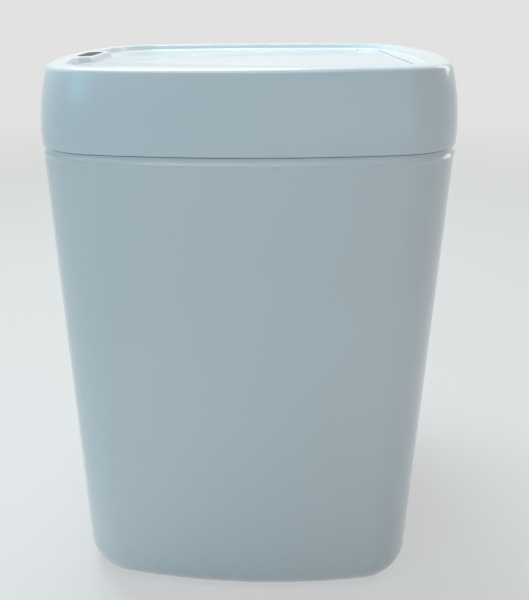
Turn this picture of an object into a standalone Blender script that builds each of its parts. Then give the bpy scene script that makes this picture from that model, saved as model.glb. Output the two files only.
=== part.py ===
"""Sensor bin: a tapered moulded body, a lift-off head with a geared flap, a bag ring, battery bay and sensor.

Lengths are in metres, +Z is up, the origin is the centre of the footprint on the floor.
The sensor window, and so the user, is at -X; the flap's hinge is near the +X end and runs along Y.
"""

import math

import bmesh
import bpy
import numpy as np
from mathutils import Matrix, Vector

# Whole bin
BIN_HEIGHT = 0.345
WIDEST_HALF_X = 0.1301
WIDEST_HALF_Y = 0.1339
FACE_BOW_RADIUS = 0.432
SIDE_BOW_RADIUS = 0.459
FIT_GAP = 0.0003
RUN_GAP = 0.0008
CUT_OVERRUN = 0.002

# Body, the tapered outer bin
BASE_DRAW = 0.0141
BASE_HALF_X = WIDEST_HALF_X - BASE_DRAW
BASE_CORNER = 0.036
BASE_FILLET = 0.0196
BASE_CLEARANCE = 0.0012
SHOULDER_DRAW = 0.0007
SHOULDER_HALF_X = WIDEST_HALF_X - SHOULDER_DRAW
SHOULDER_CORNER = 0.0456
BODY_WALL = 0.0024
BEAD_PROUD = 0.0004
BEAD_HEIGHT = 0.0026
NECK_INSET = 0.0010
NECK_HEIGHT = 0.0040
COLLAR_INSET = 0.0026
COLLAR_HEIGHT = 0.0045
EDGE_ROUND = 0.0007

# Rubber feet
FOOT_RADIUS = 0.0075
FOOT_SUNK = 0.0012
FOOT_SIDE_INSET = 0.030

# Bag ring
RING_WALL = 0.0018
RING_DEPTH = 0.014
RING_TAB_WIDTH = 0.034
RING_TAB_DEPTH = 0.006

# Head shell
HEAD_HEIGHT = 0.0462
HEAD_JOINT_GAP = 0.0003
HEAD_BOTTOM_DRAW = 0.0003
HEAD_BOTTOM_HALF_X = WIDEST_HALF_X - HEAD_BOTTOM_DRAW
WIDEST_RISE = 0.0085
TOP_DRAW = 0.0057
TOP_HALF_X = WIDEST_HALF_X - TOP_DRAW
TOP_CORNER = 0.043
TOP_EDGE_ROUND = 0.0026
HEAD_WALL = 0.0024
RECESS_DRAW_X = 0.0181
RECESS_DRAW_Y = 0.0204
RECESS_HALF_X = WIDEST_HALF_X - RECESS_DRAW_X
RECESS_HALF_Y = WIDEST_HALF_Y - RECESS_DRAW_Y
RECESS_CORNER = 0.037
RECESS_DEPTH = 0.0036
RECESS_SLOPE = 0.0010
RECESS_FILLET = 0.0008
WELL_INSET = 0.0003
LEDGE_WALL = 0.0020
THROAT_FRONT_LEDGE = 0.0200
THROAT_SIDE_LEDGE = 0.0135
THROAT_FRONT_X = THROAT_FRONT_LEDGE - RECESS_HALF_X
THROAT_HALF_Y = RECESS_HALF_Y - THROAT_SIDE_LEDGE
THROAT_CORNER = 0.028
THROAT_DEPTH = 0.039
THROAT_ROUND = 0.0012

# Sensor pod, where the rim grows inwards under the window
POD_REACH = 0.012
POD_FLAT_HALF = 0.024
POD_HALF = 0.044

# Flap and its hinge
HINGE_INSET = 0.0165
HINGE_X = RECESS_HALF_X - HINGE_INSET
MECHANISM_DEPTH = 0.0365
THROAT_REAR_X = HINGE_X - MECHANISM_DEPTH
HINGE_DROP = 0.0050
BARREL_RADIUS = 0.0064
BARREL_GAP = 0.0005
WING_STEP = 0.0095
WING_WIDTH = 0.0295
WING_Y = RECESS_HALF_Y - WING_WIDTH
WING_DRIFT = 0.0010
FLAP_THICKNESS = 0.0116
FLAP_WALL = 0.0018
FLAP_TRAY_FLOOR = 0.0016
FLAP_REST_GAP = 0.0004
TRAY_RIM_HEIGHT = 0.0040
HINGE_ROD_RADIUS = 0.00125
HINGE_ROD_GAP = 0.00015
LUG_INSET = 0.014
HINGE_HALF_SPAN = WING_Y - LUG_INSET
LUG_WIDTH = 0.0050
LUG_RADIUS = 0.0028
LUG_LEG_WIDTH = 0.0038
LUG_LEG_CLEAR = 0.0004
KNUCKLE_WIDTH = 0.0060
KNUCKLE_RADIUS = 0.0028
KNUCKLE_LENGTH = 0.0100
BUFFER_RADIUS = 0.0030
BUFFER_SUNK = 0.0016
BUFFER_LEDGE = 0.0025
BUFFER_X = THROAT_FRONT_X - BUFFER_LEDGE
BUFFER_Y = 0.060

# Gears: module is pitch diameter over tooth count
SECTOR_MODULE = 0.0010
TRAIN_MODULE = 0.0006
MOTOR_MODULE = 0.0005
SECTOR_FULL_TEETH = 32
OUTPUT_PINION_TEETH = 12
OUTPUT_WHEEL_TEETH = 34
IDLER_PINION_TEETH = 12
IDLER_WHEEL_TEETH = 32
MOTOR_PINION_TEETH = 10
OUTPUT_ANGLE_DEG = -86.0
SECTOR_LOW_DEG = -97.0
SECTOR_HIGH_DEG = 5.0
SECTOR_Y = 0.0031
SECTOR_WIDTH = 0.0050
SECTOR_TONGUE = 0.014
TONGUE_SEAT = 0.0002
SHAFT_RADIUS = 0.0020
PIN_RADIUS = 0.0010
MESH_GAP = 0.00012

# Gearbox and motor
CASE_Y_LOW = 0.0084
CASE_Y_HIGH = 0.0260
CASE_WALL = 0.0014
CASE_FRONT_ROOM = 0.0070
CASE_LENGTH = 0.0445
CASE_FRONT_X = THROAT_REAR_X + CASE_FRONT_ROOM
CASE_REAR_X = CASE_FRONT_X + CASE_LENGTH
CASE_BASE_LIFT = 0.0003
COVER_THICKNESS = 0.0020
IDLER_WHEEL_WIDTH = 0.0040
OUTPUT_WHEEL_WIDTH = 0.0050
MOTOR_RADIUS = 0.0100
MOTOR_FLAT = 0.0075
MOTOR_LENGTH = 0.0250
MOTOR_BOSS_RADIUS = 0.0031
MOTOR_BOSS_LENGTH = 0.0016
MOTOR_PINION_LENGTH = 0.0065

# Liner, the head's underside
LINER_PLATE = 0.0018
LINER_SEAT_GAP = 0.0003
PAN_FRONT_ROOM = 0.0026
PAN_REAR_DRAW = 0.0095
PAN_FRONT_X = THROAT_REAR_X + PAN_FRONT_ROOM
PAN_REAR_X = WIDEST_HALF_X - PAN_REAR_DRAW
PAN_BOW_RADIUS = 0.450
PAN_SIDE_ROOM = 0.0040
PAN_HALF_Y = WING_Y - PAN_SIDE_ROOM
PAN_DROP = 0.0013
PAN_WALL = 0.0018

# Screws and the posts that take them
POST_RADIUS = 0.0036
POST_BORE_RADIUS = 0.0015
POST_BORE_DEPTH = 0.011
POST_FRONT_INSET = 0.0200
POST_REAR_INSET = 0.0340
POST_CORNER_INSET = 0.0215
POST_MIDDLE_INSET = 0.0060
POST_FRONT_X = POST_FRONT_INSET - RECESS_HALF_X
POST_REAR_X = RECESS_HALF_X - POST_REAR_INSET
POST_CORNER_Y = RECESS_HALF_Y - POST_CORNER_INSET
POST_MIDDLE_X = -0.020
POST_MIDDLE_Y = RECESS_HALF_Y - POST_MIDDLE_INSET
SCREW_HEAD_RADIUS = 0.0030
SCREW_HEAD_HEIGHT = 0.0016
SCREW_LENGTH = 0.0090
SCREW_RADIUS = 0.0012
SMALL_SCREW_HEAD_RADIUS = 0.0022
FLAP_SCREW_LENGTH = 0.0055
FLAP_SCREW_INSET = 0.020
BOARD_SCREW_LENGTH = 0.0040
COVER_SCREW_LENGTH = 0.0080
COVER_SCREW_INSET = 0.0028
COVER_BOSS_RADIUS = 0.0026

# Battery bay, three AA cells side by side along Y
CELL_RADIUS = 0.00710
CELL_LENGTH = 0.0492
CELL_NIPPLE_RADIUS = 0.0027
CELL_NIPPLE_LENGTH = 0.0013
CELL_PITCH = 0.01475
CELL_COUNT = 3
BAY_FRONT_ROOM = 0.0032
BAY_SIDE_ROOM = 0.00055
BAY_HIGH_Y = -0.0020
BAY_END_ROOM = 0.0133
BAY_LOW_Y = BAY_HIGH_Y - CELL_LENGTH - BAY_END_ROOM
BAY_WALL = 0.0014
BAY_FRONT_X = PAN_FRONT_X + BAY_FRONT_ROOM
BAY_REAR_X = BAY_FRONT_X + CELL_COUNT * CELL_PITCH + 2 * BAY_WALL + BAY_SIDE_ROOM
BAY_HEIGHT = 0.0165
CONTACT_THICKNESS = 0.0004
CONTACT_SPRING_LENGTH = 0.0048
CONTACT_SPRING_RADIUS = 0.0034
CONTACT_WIRE_RADIUS = 0.00028
DOOR_MARGIN = 0.0006
DOOR_THICKNESS = 0.0016
DOOR_BARREL_RADIUS = 0.0013
DOOR_PIN_RADIUS = 0.0005
DOOR_EAR_RADIUS = 0.0015
DOOR_EAR_WIDTH = 0.0030
DOOR_AXIS_RISE = 0.0004
DOOR_GRIP_LENGTH = 0.014
DOOR_GRIP_HEIGHT = 0.0009

# Boards, sensor and switch
BOARD_THICKNESS = 0.0016
MAIN_BOARD_ROOM = 0.0124
MAIN_BOARD_WIDTH = 0.0240
MAIN_BOARD_FRONT_X = PAN_FRONT_X + MAIN_BOARD_ROOM
MAIN_BOARD_REAR_X = MAIN_BOARD_FRONT_X + MAIN_BOARD_WIDTH
MAIN_BOARD_LOW_Y = -0.0720
MAIN_BOARD_HIGH_Y = -0.0030
MAIN_BOARD_DROP = 0.0034
BOARD_POST_RADIUS = 0.0026
BOARD_BORE_DEPTH = 0.0024
WINDOW_DRAW = 0.0203
WINDOW_X = WINDOW_DRAW - WIDEST_HALF_X
WINDOW_HALF_LENGTH = 0.0220
WINDOW_HALF_WIDTH = 0.0050
WINDOW_PROUD = 0.0002
WINDOW_FLANGE = 0.0005
SENSOR_BOARD_DROP = 0.0115
SENSOR_BOARD_HALF_Y = 0.0330
SENSOR_BOARD_OFFSET = 0.0019
SENSOR_BOARD_X = WINDOW_X - SENSOR_BOARD_OFFSET
SENSOR_BOARD_HALF_X = 0.0050
LED_RADIUS = 0.0025
LED_SPACING = 0.0110
INDICATOR_RADIUS = 0.0013
SWITCH_ROOM = 0.0284
SWITCH_SIDE_INSET = 0.0100
SWITCH_X = PAN_FRONT_X + SWITCH_ROOM
SWITCH_Y = PAN_HALF_Y - SWITCH_SIDE_INSET
SWITCH_HALF_X = 0.0062
SWITCH_HALF_Y = 0.0034
SWITCH_HEIGHT = 0.0048
SWITCH_TRAVEL = 0.0030
SWITCH_KNOB_LENGTH = 0.0036
SWITCH_KNOB_WIDTH = 0.0030

# Wires inside the head
LEAD_RADIUS = 0.0011
LEAD_CLEAR = 0.0036

# Counts and shares
CORNER_STEPS = 5
FACE_SHARES = (0.0, 0.5, 1.0)
PLAIN_SIDE_SHARES = (0.0, 0.5, 1.0)
POD_SIDE_SHARES = (0.0, 0.32, 0.41, 0.50, 0.59, 1.0)
FILLET_STEPS = 4
ROUND_SEGMENTS = 16
SMALL_SEGMENTS = 10
SCREW_SEGMENTS = 8
SPRING_TURNS = 2
SPRING_TURN_POINTS = 8
BARREL_LEVEL_SHARES = (0.35, 0.7, 1.0)
BARREL_INSIDE_SHARES = (0.55,)
TOOTH_ROOT_SHARE = 0.36
TOOTH_TIP_SHARE = 0.13
ADDENDUM_SHARE = 0.95
DEDENDUM_SHARE = 1.2

# Heights and places worked out from the sizes above
HEAD_BOTTOM = BIN_HEIGHT - HEAD_HEIGHT
NECK_TOP = HEAD_BOTTOM - HEAD_JOINT_GAP
SHOULDER_HEIGHT = NECK_TOP - NECK_HEIGHT
PAN_FLOOR_HEIGHT = HEAD_BOTTOM - PAN_DROP
COLLAR_TOP = NECK_TOP + COLLAR_HEIGHT
WIDEST_HEIGHT = HEAD_BOTTOM + WIDEST_RISE
FLOOR_LEVEL = BIN_HEIGHT - RECESS_DEPTH
RIM_UNDERSIDE = BIN_HEIGHT - HEAD_WALL
DECK_UNDERSIDE = FLOOR_LEVEL - LEDGE_WALL
HINGE_Z = FLOOR_LEVEL - HINGE_DROP
FLAP_UNDERSIDE = FLOOR_LEVEL - FLAP_THICKNESS
LEDGE_LEVEL = FLAP_UNDERSIDE - FLAP_REST_GAP
LEDGE_UNDERSIDE = LEDGE_LEVEL - LEDGE_WALL
THROAT_BOTTOM = LEDGE_LEVEL - THROAT_DEPTH
RECESS_TOP_OUTSET = RECESS_FILLET + RECESS_SLOPE
RING_FLANGE_LOW = COLLAR_TOP + FIT_GAP
RING_FLANGE_HIGH = RING_FLANGE_LOW + RING_WALL
LINER_LOW = RING_FLANGE_HIGH + LINER_SEAT_GAP
LINER_HIGH = LINER_LOW + LINER_PLATE
PAN_FLOOR_TOP = PAN_FLOOR_HEIGHT + PAN_WALL
SECTOR_RADIUS = SECTOR_MODULE * SECTOR_FULL_TEETH / 2
OUTPUT_PINION_RADIUS = SECTOR_MODULE * OUTPUT_PINION_TEETH / 2
OUTPUT_WHEEL_RADIUS = TRAIN_MODULE * OUTPUT_WHEEL_TEETH / 2
IDLER_PINION_RADIUS = TRAIN_MODULE * IDLER_PINION_TEETH / 2
IDLER_WHEEL_RADIUS = MOTOR_MODULE * IDLER_WHEEL_TEETH / 2
MOTOR_PINION_RADIUS = MOTOR_MODULE * MOTOR_PINION_TEETH / 2
OUTPUT_DISTANCE = SECTOR_RADIUS + OUTPUT_PINION_RADIUS + MESH_GAP
OUTPUT_X = HINGE_X + OUTPUT_DISTANCE * math.cos(math.radians(OUTPUT_ANGLE_DEG))
OUTPUT_Z = HINGE_Z + OUTPUT_DISTANCE * math.sin(math.radians(OUTPUT_ANGLE_DEG))
IDLER_X = OUTPUT_X - OUTPUT_WHEEL_RADIUS - IDLER_PINION_RADIUS - MESH_GAP
IDLER_Z = OUTPUT_Z
MOTOR_X = IDLER_X - IDLER_WHEEL_RADIUS - MOTOR_PINION_RADIUS - MESH_GAP
MOTOR_Z = IDLER_Z
CASE_TOP = LEDGE_UNDERSIDE - FIT_GAP
CASE_BOTTOM = PAN_FLOOR_TOP + CASE_BASE_LIFT
BAY_BOTTOM = PAN_FLOOR_TOP + FIT_GAP
BAY_TOP = BAY_BOTTOM + BAY_HEIGHT


def clear_scene():
    for old in list(bpy.data.objects):
        bpy.data.objects.remove(old, do_unlink=True)


def new_collection(name, hidden=False):
    collection = bpy.data.collections.new(name)
    collection.hide_render = hidden
    bpy.context.scene.collection.children.link(collection)
    return collection


clear_scene()
PARTS = new_collection("sensor_bin")
CUTTERS = new_collection("cutters", hidden=True)


def finish_material(name, colour, roughness, metallic=0.0):
    material = bpy.data.materials.new(name)
    material.use_nodes = True
    shader = material.node_tree.nodes["Principled BSDF"]
    shader.inputs["Base Color"].default_value = (*colour, 1.0)
    shader.inputs["Roughness"].default_value = roughness
    shader.inputs["Metallic"].default_value = metallic
    return material


WHITE_SHELL = finish_material("white_shell", (0.84, 0.88, 0.90), 0.30)
WHITE_BODY = finish_material("white_body", (0.82, 0.86, 0.89), 0.34)
INNER_GREY = finish_material("inner_grey", (0.72, 0.74, 0.76), 0.50)
BLACK_WINDOW = finish_material("black_window", (0.01, 0.012, 0.015), 0.06)
RUBBER_GREY = finish_material("rubber_grey", (0.20, 0.20, 0.21), 0.85)
NYLON_WHITE = finish_material("nylon_white", (0.80, 0.79, 0.74), 0.45)
STEEL = finish_material("steel", (0.62, 0.62, 0.63), 0.28, 1.0)
BRASS = finish_material("brass", (0.78, 0.62, 0.30), 0.25, 1.0)
BOARD_GREEN = finish_material("board_green", (0.04, 0.20, 0.10), 0.45)
CELL_JACKET = finish_material("cell_jacket", (0.25, 0.27, 0.30), 0.35)
LENS_CLEAR = finish_material("lens_clear", (0.75, 0.78, 0.85), 0.08)
WIRE_BLACK = finish_material("wire_black", (0.03, 0.03, 0.03), 0.55)


def link(obj, collection=PARTS):
    collection.objects.link(obj)
    return obj


def mesh_object(name, bm, material=None, collection=PARTS):
    """A linked object from a bmesh, with its faces pointing out and its round faces shaded smooth."""
    bmesh.ops.recalc_face_normals(bm, faces=bm.faces)
    mesh = bpy.data.meshes.new(name)
    bm.to_mesh(mesh)
    bm.free()
    mesh.shade_smooth()
    mesh.set_sharp_from_angle(angle=math.radians(35))
    if material:
        mesh.materials.append(material)
    return link(bpy.data.objects.new(name, mesh), collection)


def hide_cutter(obj):
    obj.hide_render = True
    obj.display_type = "WIRE"
    return obj


def boolean(target, other, operation="DIFFERENCE"):
    """Cuts or joins with another object by an EXACT Boolean modifier that stays on the target."""
    modifier = target.modifiers.new(f"{operation.lower()}_{other.name}", "BOOLEAN")
    modifier.operation = operation
    modifier.solver = "EXACT"
    modifier.object = other
    return target


def join_all(target, others):
    for other in others:
        boolean(target, hide_cutter(other), "UNION")
    return target


def cut_all(target, cutters):
    for cutter in cutters:
        boolean(target, hide_cutter(cutter))
    return target


def move_origin(obj, point):
    """Keeps the shape where it is and puts the object's origin at a point, such as its joint's axis."""
    obj.data.transform(Matrix.Translation(-Vector(point)))
    obj.location = point
    return obj


def box(name, low, high, material=None, collection=PARTS):
    """A box between two corners."""
    low, high = Vector(low), Vector(high)
    bm = bmesh.new()
    bmesh.ops.create_cube(bm, size=1)
    bmesh.ops.scale(bm, vec=high - low, verts=bm.verts)
    bmesh.ops.translate(bm, vec=(low + high) / 2, verts=bm.verts)
    return mesh_object(name, bm, material, collection)


def cylinder(name, start, end, radius, segments=ROUND_SEGMENTS, material=None, collection=PARTS):
    """A round bar between two points."""
    start, end = Vector(start), Vector(end)
    run = end - start
    bm = bmesh.new()
    bmesh.ops.create_cone(
        bm, cap_ends=True, segments=segments, radius1=radius, radius2=radius, depth=run.length
    )
    turn = run.to_track_quat("Z", "Y").to_matrix().to_4x4()
    bmesh.ops.transform(bm, matrix=Matrix.Translation((start + end) / 2) @ turn, verts=bm.verts)
    return mesh_object(name, bm, material, collection)


def round_tool(name, start, end, radius, segments=SMALL_SEGMENTS):
    """A round bar that is joined to a piece or cut from one."""
    return cylinder(name, start, end, radius, segments, collection=CUTTERS)


def box_tool(name, low, high):
    """A box that is joined to a piece or cut from one."""
    return box(name, low, high, collection=CUTTERS)


def flat_tool(name, outlines, thickness, place):
    """A flat outline with a thickness that is joined to a piece or cut from one."""
    return flat_piece(name, outlines, thickness, place, collection=CUTTERS)


def turned(name, profile, place, segments=ROUND_SEGMENTS, material=None, tilt=None, collection=PARTS):
    """A turned piece: (radius, height) points from top to bottom, turned about local Z."""
    bm = bmesh.new()
    points = [bm.verts.new((radius, 0.0, height)) for radius, height in profile]
    for first, second in zip(points, points[1:]):
        bm.edges.new((first, second))
    mesh = bpy.data.meshes.new(name)
    bm.to_mesh(mesh)
    bm.free()
    if material:
        mesh.materials.append(material)
    obj = link(bpy.data.objects.new(name, mesh), collection)
    obj.location = place
    if tilt:
        obj.rotation_euler = tilt
    modifier = obj.modifiers.new("turned", "SCREW")
    modifier.steps = segments
    modifier.render_steps = segments
    modifier.use_merge_vertices = True
    modifier.merge_threshold = 1e-6
    modifier.use_smooth_shade = True
    return obj


def mesh_from_curve(curve_object, material=None, collection=PARTS):
    """Replaces a filled or bevelled curve object by a closed mesh object of the same name and place."""
    name = curve_object.name
    bpy.context.view_layer.update()
    graph = bpy.context.evaluated_depsgraph_get()
    mesh = bpy.data.meshes.new_from_object(curve_object.evaluated_get(graph))
    matrix = curve_object.matrix_world.copy()
    bpy.data.objects.remove(curve_object, do_unlink=True)
    bm = bmesh.new()
    bm.from_mesh(mesh)
    bpy.data.meshes.remove(mesh)
    bmesh.ops.remove_doubles(bm, verts=bm.verts, dist=1e-7)
    obj = mesh_object(name, bm, material, collection)
    obj.matrix_world = matrix
    return obj


def flat_piece(name, outlines, thickness, matrix, material=None, collection=PARTS):
    """A flat outline, with any holes as further outlines, as a filled 2D curve of a given thickness."""
    curve = bpy.data.curves.new(name, "CURVE")
    curve.dimensions = "2D"
    curve.fill_mode = "BOTH"
    curve.extrude = thickness / 2
    for outline in outlines:
        spline = curve.splines.new("POLY")
        spline.points.add(len(outline) - 1)
        for point, (x, y) in zip(spline.points, outline):
            point.co = (x, y, 0.0, 1.0)
        spline.use_cyclic_u = True
    obj = link(bpy.data.objects.new(name, curve), collection)
    obj.matrix_world = matrix
    return mesh_from_curve(obj, material, collection)


def along_y(x, y, z):
    """The matrix that lays a flat outline in the XZ plane at a place, with its thickness along Y."""
    return Matrix.Translation((x, y, z)) @ Matrix.Rotation(math.radians(90), 4, "X")


def arc(centre, radius, start_deg, end_deg, count):
    """Points on an arc, both ends included."""
    angles = np.radians(np.linspace(start_deg, end_deg, count))
    return [(centre[0] + radius * math.cos(a), centre[1] + radius * math.sin(a)) for a in angles]


def bowed_plan(half_x, half_y, corner, side_shares, inset=0.0):
    """A rectangle whose four sides bow outwards and whose corners are arcs that meet them smoothly.

    Each quarter is three tangent arcs: half a side, a corner, half a face. An inset shrinks every
    radius and half width alike, so the outlines of one wall's two faces stay parallel.
    """
    face_radius = FACE_BOW_RADIUS - inset
    side_radius = SIDE_BOW_RADIUS - inset
    half_x, half_y, corner = half_x - inset, half_y - inset, corner - inset
    face_centre = np.array([0.0, half_y - face_radius])
    side_centre = np.array([half_x - side_radius, 0.0])
    apart = side_centre - face_centre
    distance = np.hypot(*apart)
    to_face, to_side = face_radius - corner, side_radius - corner
    along = (distance**2 + to_face**2 - to_side**2) / (2 * distance)
    across = math.sqrt(to_face**2 - along**2)
    unit = apart / distance
    normal = np.array([-unit[1], unit[0]])
    choices = [face_centre + along * unit + sign * across * normal for sign in (1, -1)]
    corner_centre = max(choices, key=lambda c: c[0] + c[1])
    side_end = math.atan2(*(corner_centre - side_centre)[::-1])
    face_end = math.atan2(*(corner_centre - face_centre)[::-1])
    side_angles = np.array(side_shares) * side_end
    corner_angles = np.linspace(side_end, face_end, CORNER_STEPS + 1)[1:]
    face_angles = face_end + np.array(FACE_SHARES)[1:] * (math.pi / 2 - face_end)
    quarter = np.concatenate(
        [
            side_centre + side_radius * np.stack([np.cos(side_angles), np.sin(side_angles)], 1),
            corner_centre + corner * np.stack([np.cos(corner_angles), np.sin(corner_angles)], 1),
            face_centre + face_radius * np.stack([np.cos(face_angles), np.sin(face_angles)], 1),
        ]
    )
    half = np.concatenate([quarter, (quarter * [-1, 1])[::-1][1:]])
    return np.concatenate([half, (half * [1, -1])[::-1][1:-1]])


def at_height(plan, height):
    return np.column_stack([plan, np.full(len(plan), height)])


def mix(first, second, share):
    return first + (second - first) * share


def half_y_for(half_x):
    return WIDEST_HALF_Y - (WIDEST_HALF_X - half_x)


def body_ring(height, inset=0.0, side_shares=PLAIN_SIDE_SHARES):
    """The body's outer outline at a height, drawn in by an inset, with the rounded foot of the wall."""
    share = min(height / SHOULDER_HEIGHT, 1.0)
    half_x = mix(BASE_HALF_X, SHOULDER_HALF_X, share)
    corner = mix(BASE_CORNER, SHOULDER_CORNER, share)
    return at_height(bowed_plan(half_x, half_y_for(half_x), corner, side_shares, inset), height)


def body_foot_rings(fillet, lowest, inset):
    """Rings round the rounded foot of the body, from its flat base up to where the wall runs straight."""
    rings = []
    for step in range(FILLET_STEPS + 1):
        angle = math.pi / 2 * step / FILLET_STEPS
        height = lowest + fillet * (1 - math.cos(angle))
        rings.append(body_ring(height, inset + fillet * (1 - math.sin(angle))))
    return rings


def barrel_half_x(height):
    """Half the head's width in X: widest near its bottom edge and drawn in above it along a parabola."""
    if height < WIDEST_HEIGHT:
        share = (WIDEST_HEIGHT - height) / WIDEST_RISE
        return WIDEST_HALF_X - (WIDEST_HALF_X - HEAD_BOTTOM_HALF_X) * share**2
    share = (height - WIDEST_HEIGHT) / (BIN_HEIGHT - WIDEST_HEIGHT)
    return WIDEST_HALF_X - (WIDEST_HALF_X - TOP_HALF_X) * share**2


def head_ring(height, inset=0.0, side_shares=POD_SIDE_SHARES, plan_height=None):
    """The head's outline at a height, drawn in by an inset; plan_height gives another height's outline."""
    level = height if plan_height is None else plan_height
    half_x = barrel_half_x(level)
    share = (level - HEAD_BOTTOM) / (BIN_HEIGHT - HEAD_BOTTOM)
    corner = mix(SHOULDER_CORNER, TOP_CORNER, share)
    return at_height(bowed_plan(half_x, half_y_for(half_x), corner, side_shares, inset), height)


def pod_bump(ys):
    """How far the rim reaches inwards for the sensor: full over the window, then a fall to nothing."""
    share = np.clip((np.abs(ys) - POD_FLAT_HALF) / (POD_HALF - POD_FLAT_HALF), 0.0, 1.0)
    return POD_REACH * (0.5 + 0.5 * np.cos(np.pi * share))


def recess_ring(height, outset, rear_limit=None, grown=0.0):
    """The outline of the recess in the top at an outset from its floor's edge.

    With a rear_limit it is the outline of the flap's well: cut straight behind, with a step forward at
    both rear corners, so that the flap's corners rise clear of the rim. grown widens the step's edges.
    """
    plan = bowed_plan(RECESS_HALF_X, RECESS_HALF_Y, RECESS_CORNER, POD_SIDE_SHARES, -outset)
    ring = at_height(plan, height)
    front = ring[:, 0] < 0
    ring[front, 0] += pod_bump(ring[front, 1])
    if rear_limit is None:
        return ring
    wing_limit = HINGE_X - WING_STEP + grown
    behind = ring[:, 0] > wing_limit
    between = behind & (np.abs(ring[:, 1]) < WING_Y)
    crossings = {}
    for step in (-1, 1):
        for place in np.flatnonzero(behind & ~np.roll(behind, step)):
            ahead = (place - step) % len(ring)
            share = (wing_limit - ring[ahead, 0]) / (ring[place, 0] - ring[ahead, 0])
            crossings[place] = mix(ring[ahead, 1], ring[place, 1], share)
    ring[between, 0] = np.minimum(ring[between, 0], rear_limit)
    ring[behind & ~between, 0] = wing_limit
    for sign in (-1, 1):
        edge_inside = np.where(between, ring[:, 1] * sign, -WING_Y).argmax()
        reach = ring[:, 1] * sign
        edge_outside = np.where(behind & ~between & (reach > 0), reach, WING_Y * 2).argmin()
        ring[[edge_inside, edge_outside], 1] = sign * (WING_Y + grown)
    for place, across in crossings.items():
        ring[place, 1] = across
    return ring


def barrel_limit(height, radius):
    """How far back the flap may reach at a height: the edge of a barrel about the hinge axis."""
    return HINGE_X + math.sqrt(max(radius**2 - (height - HINGE_Z) ** 2, 0.0))


def throat_ring(height, outset=0.0):
    """The outline of the opening that waste drops through, from the front ledge to the mechanism."""
    half_x = (THROAT_REAR_X - THROAT_FRONT_X) / 2
    middle = (THROAT_REAR_X + THROAT_FRONT_X) / 2
    plan = bowed_plan(half_x, THROAT_HALF_Y, THROAT_CORNER, POD_SIDE_SHARES, -outset)
    return at_height(plan + [middle, 0.0], height)


def carried(name, rings, material=None, collection=PARTS, loop=False):
    """A solid whose wall profile is carried round an outline: rings joined in order.

    The first and last ring are joined to each other when loop is true, and capped otherwise.
    """
    bm = bmesh.new()
    levels = [[bm.verts.new(point) for point in ring] for ring in rings]
    count = len(levels[0])
    pairs = list(zip(levels, levels[1:]))
    if loop:
        pairs.append((levels[-1], levels[0]))
    else:
        bm.faces.new(levels[0])
        bm.faces.new(levels[-1])
    for lower, upper in pairs:
        for i in range(count):
            j = (i + 1) % count
            bm.faces.new((lower[i], lower[j], upper[j], upper[i]))
    return mesh_object(name, bm, material, collection)


def gear_outline(module, teeth, first_deg, tooth_numbers=None):
    """The outline of a gear with a tooth centred on first_deg; tooth_numbers keeps only some teeth of it."""
    pitch_radius = module * teeth / 2
    root = pitch_radius - DEDENDUM_SHARE * module
    tip = pitch_radius + ADDENDUM_SHARE * module
    pitch_deg = 360.0 / teeth
    rising = ((-TOOTH_ROOT_SHARE, root), (-TOOTH_TIP_SHARE, tip))
    corners = rising + ((TOOTH_TIP_SHARE, tip), (TOOTH_ROOT_SHARE, root))
    numbers = range(teeth) if tooth_numbers is None else tooth_numbers
    outline = []
    for number in numbers:
        for share, radius in corners:
            angle = math.radians(first_deg + (number + share) * pitch_deg)
            outline.append((radius * math.cos(angle), radius * math.sin(angle)))
    return outline


def circle(radius, segments=ROUND_SEGMENTS):
    return arc((0.0, 0.0), radius, 0.0, 360.0 * (segments - 1) / segments, segments)


def stadium(half_length, half_width, segments=8):
    """A slot's outline, long in Y: two half circles joined by straight sides."""
    straight = half_length - half_width
    top = arc((0.0, straight), half_width, 0.0, 180.0, segments + 1)
    bottom = arc((0.0, -straight), half_width, 180.0, 360.0, segments + 1)
    return top + bottom


def mirrored_y(y):
    return (-y, y)


def make_body():
    """The outer bin: rounded foot, straight taper, a bead under the joint, a neck and a collar."""
    collar_inner = COLLAR_INSET + BODY_WALL
    inner_floor = BASE_CLEARANCE + BODY_WALL
    outer = body_foot_rings(BASE_FILLET, BASE_CLEARANCE, 0.0)
    bead_low = SHOULDER_HEIGHT - BEAD_HEIGHT
    outer += [
        body_ring(bead_low),
        body_ring(bead_low + BEAD_PROUD, -BEAD_PROUD),
        body_ring(SHOULDER_HEIGHT - EDGE_ROUND, -BEAD_PROUD),
        body_ring(SHOULDER_HEIGHT, NECK_INSET),
        body_ring(NECK_TOP, NECK_INSET),
        body_ring(NECK_TOP, COLLAR_INSET),
        body_ring(COLLAR_TOP, COLLAR_INSET),
    ]
    inner = [
        body_ring(COLLAR_TOP, collar_inner),
        body_ring(SHOULDER_HEIGHT, collar_inner),
        body_ring(bead_low, BODY_WALL),
    ]
    inner += body_foot_rings(BASE_FILLET - BODY_WALL, inner_floor, BODY_WALL)[::-1]
    body = carried("bin_body", outer + inner, WHITE_BODY)
    pockets = []
    for number, (x, y) in enumerate(foot_places()):
        low = (x, y, BASE_CLEARANCE - CUT_OVERRUN)
        high = (x, y, BASE_CLEARANCE + FOOT_SUNK)
        name = f"foot_pocket_{number + 1}"
        pockets.append(cylinder(name, low, high, FOOT_RADIUS + FIT_GAP, collection=CUTTERS))
    return cut_all(body, pockets)


def foot_places():
    reach_x = BASE_HALF_X - FOOT_SIDE_INSET
    reach_y = half_y_for(BASE_HALF_X) - FOOT_SIDE_INSET
    return [(sign_x * reach_x, sign_y * reach_y) for sign_x in (-1, 1) for sign_y in (-1, 1)]


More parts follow.
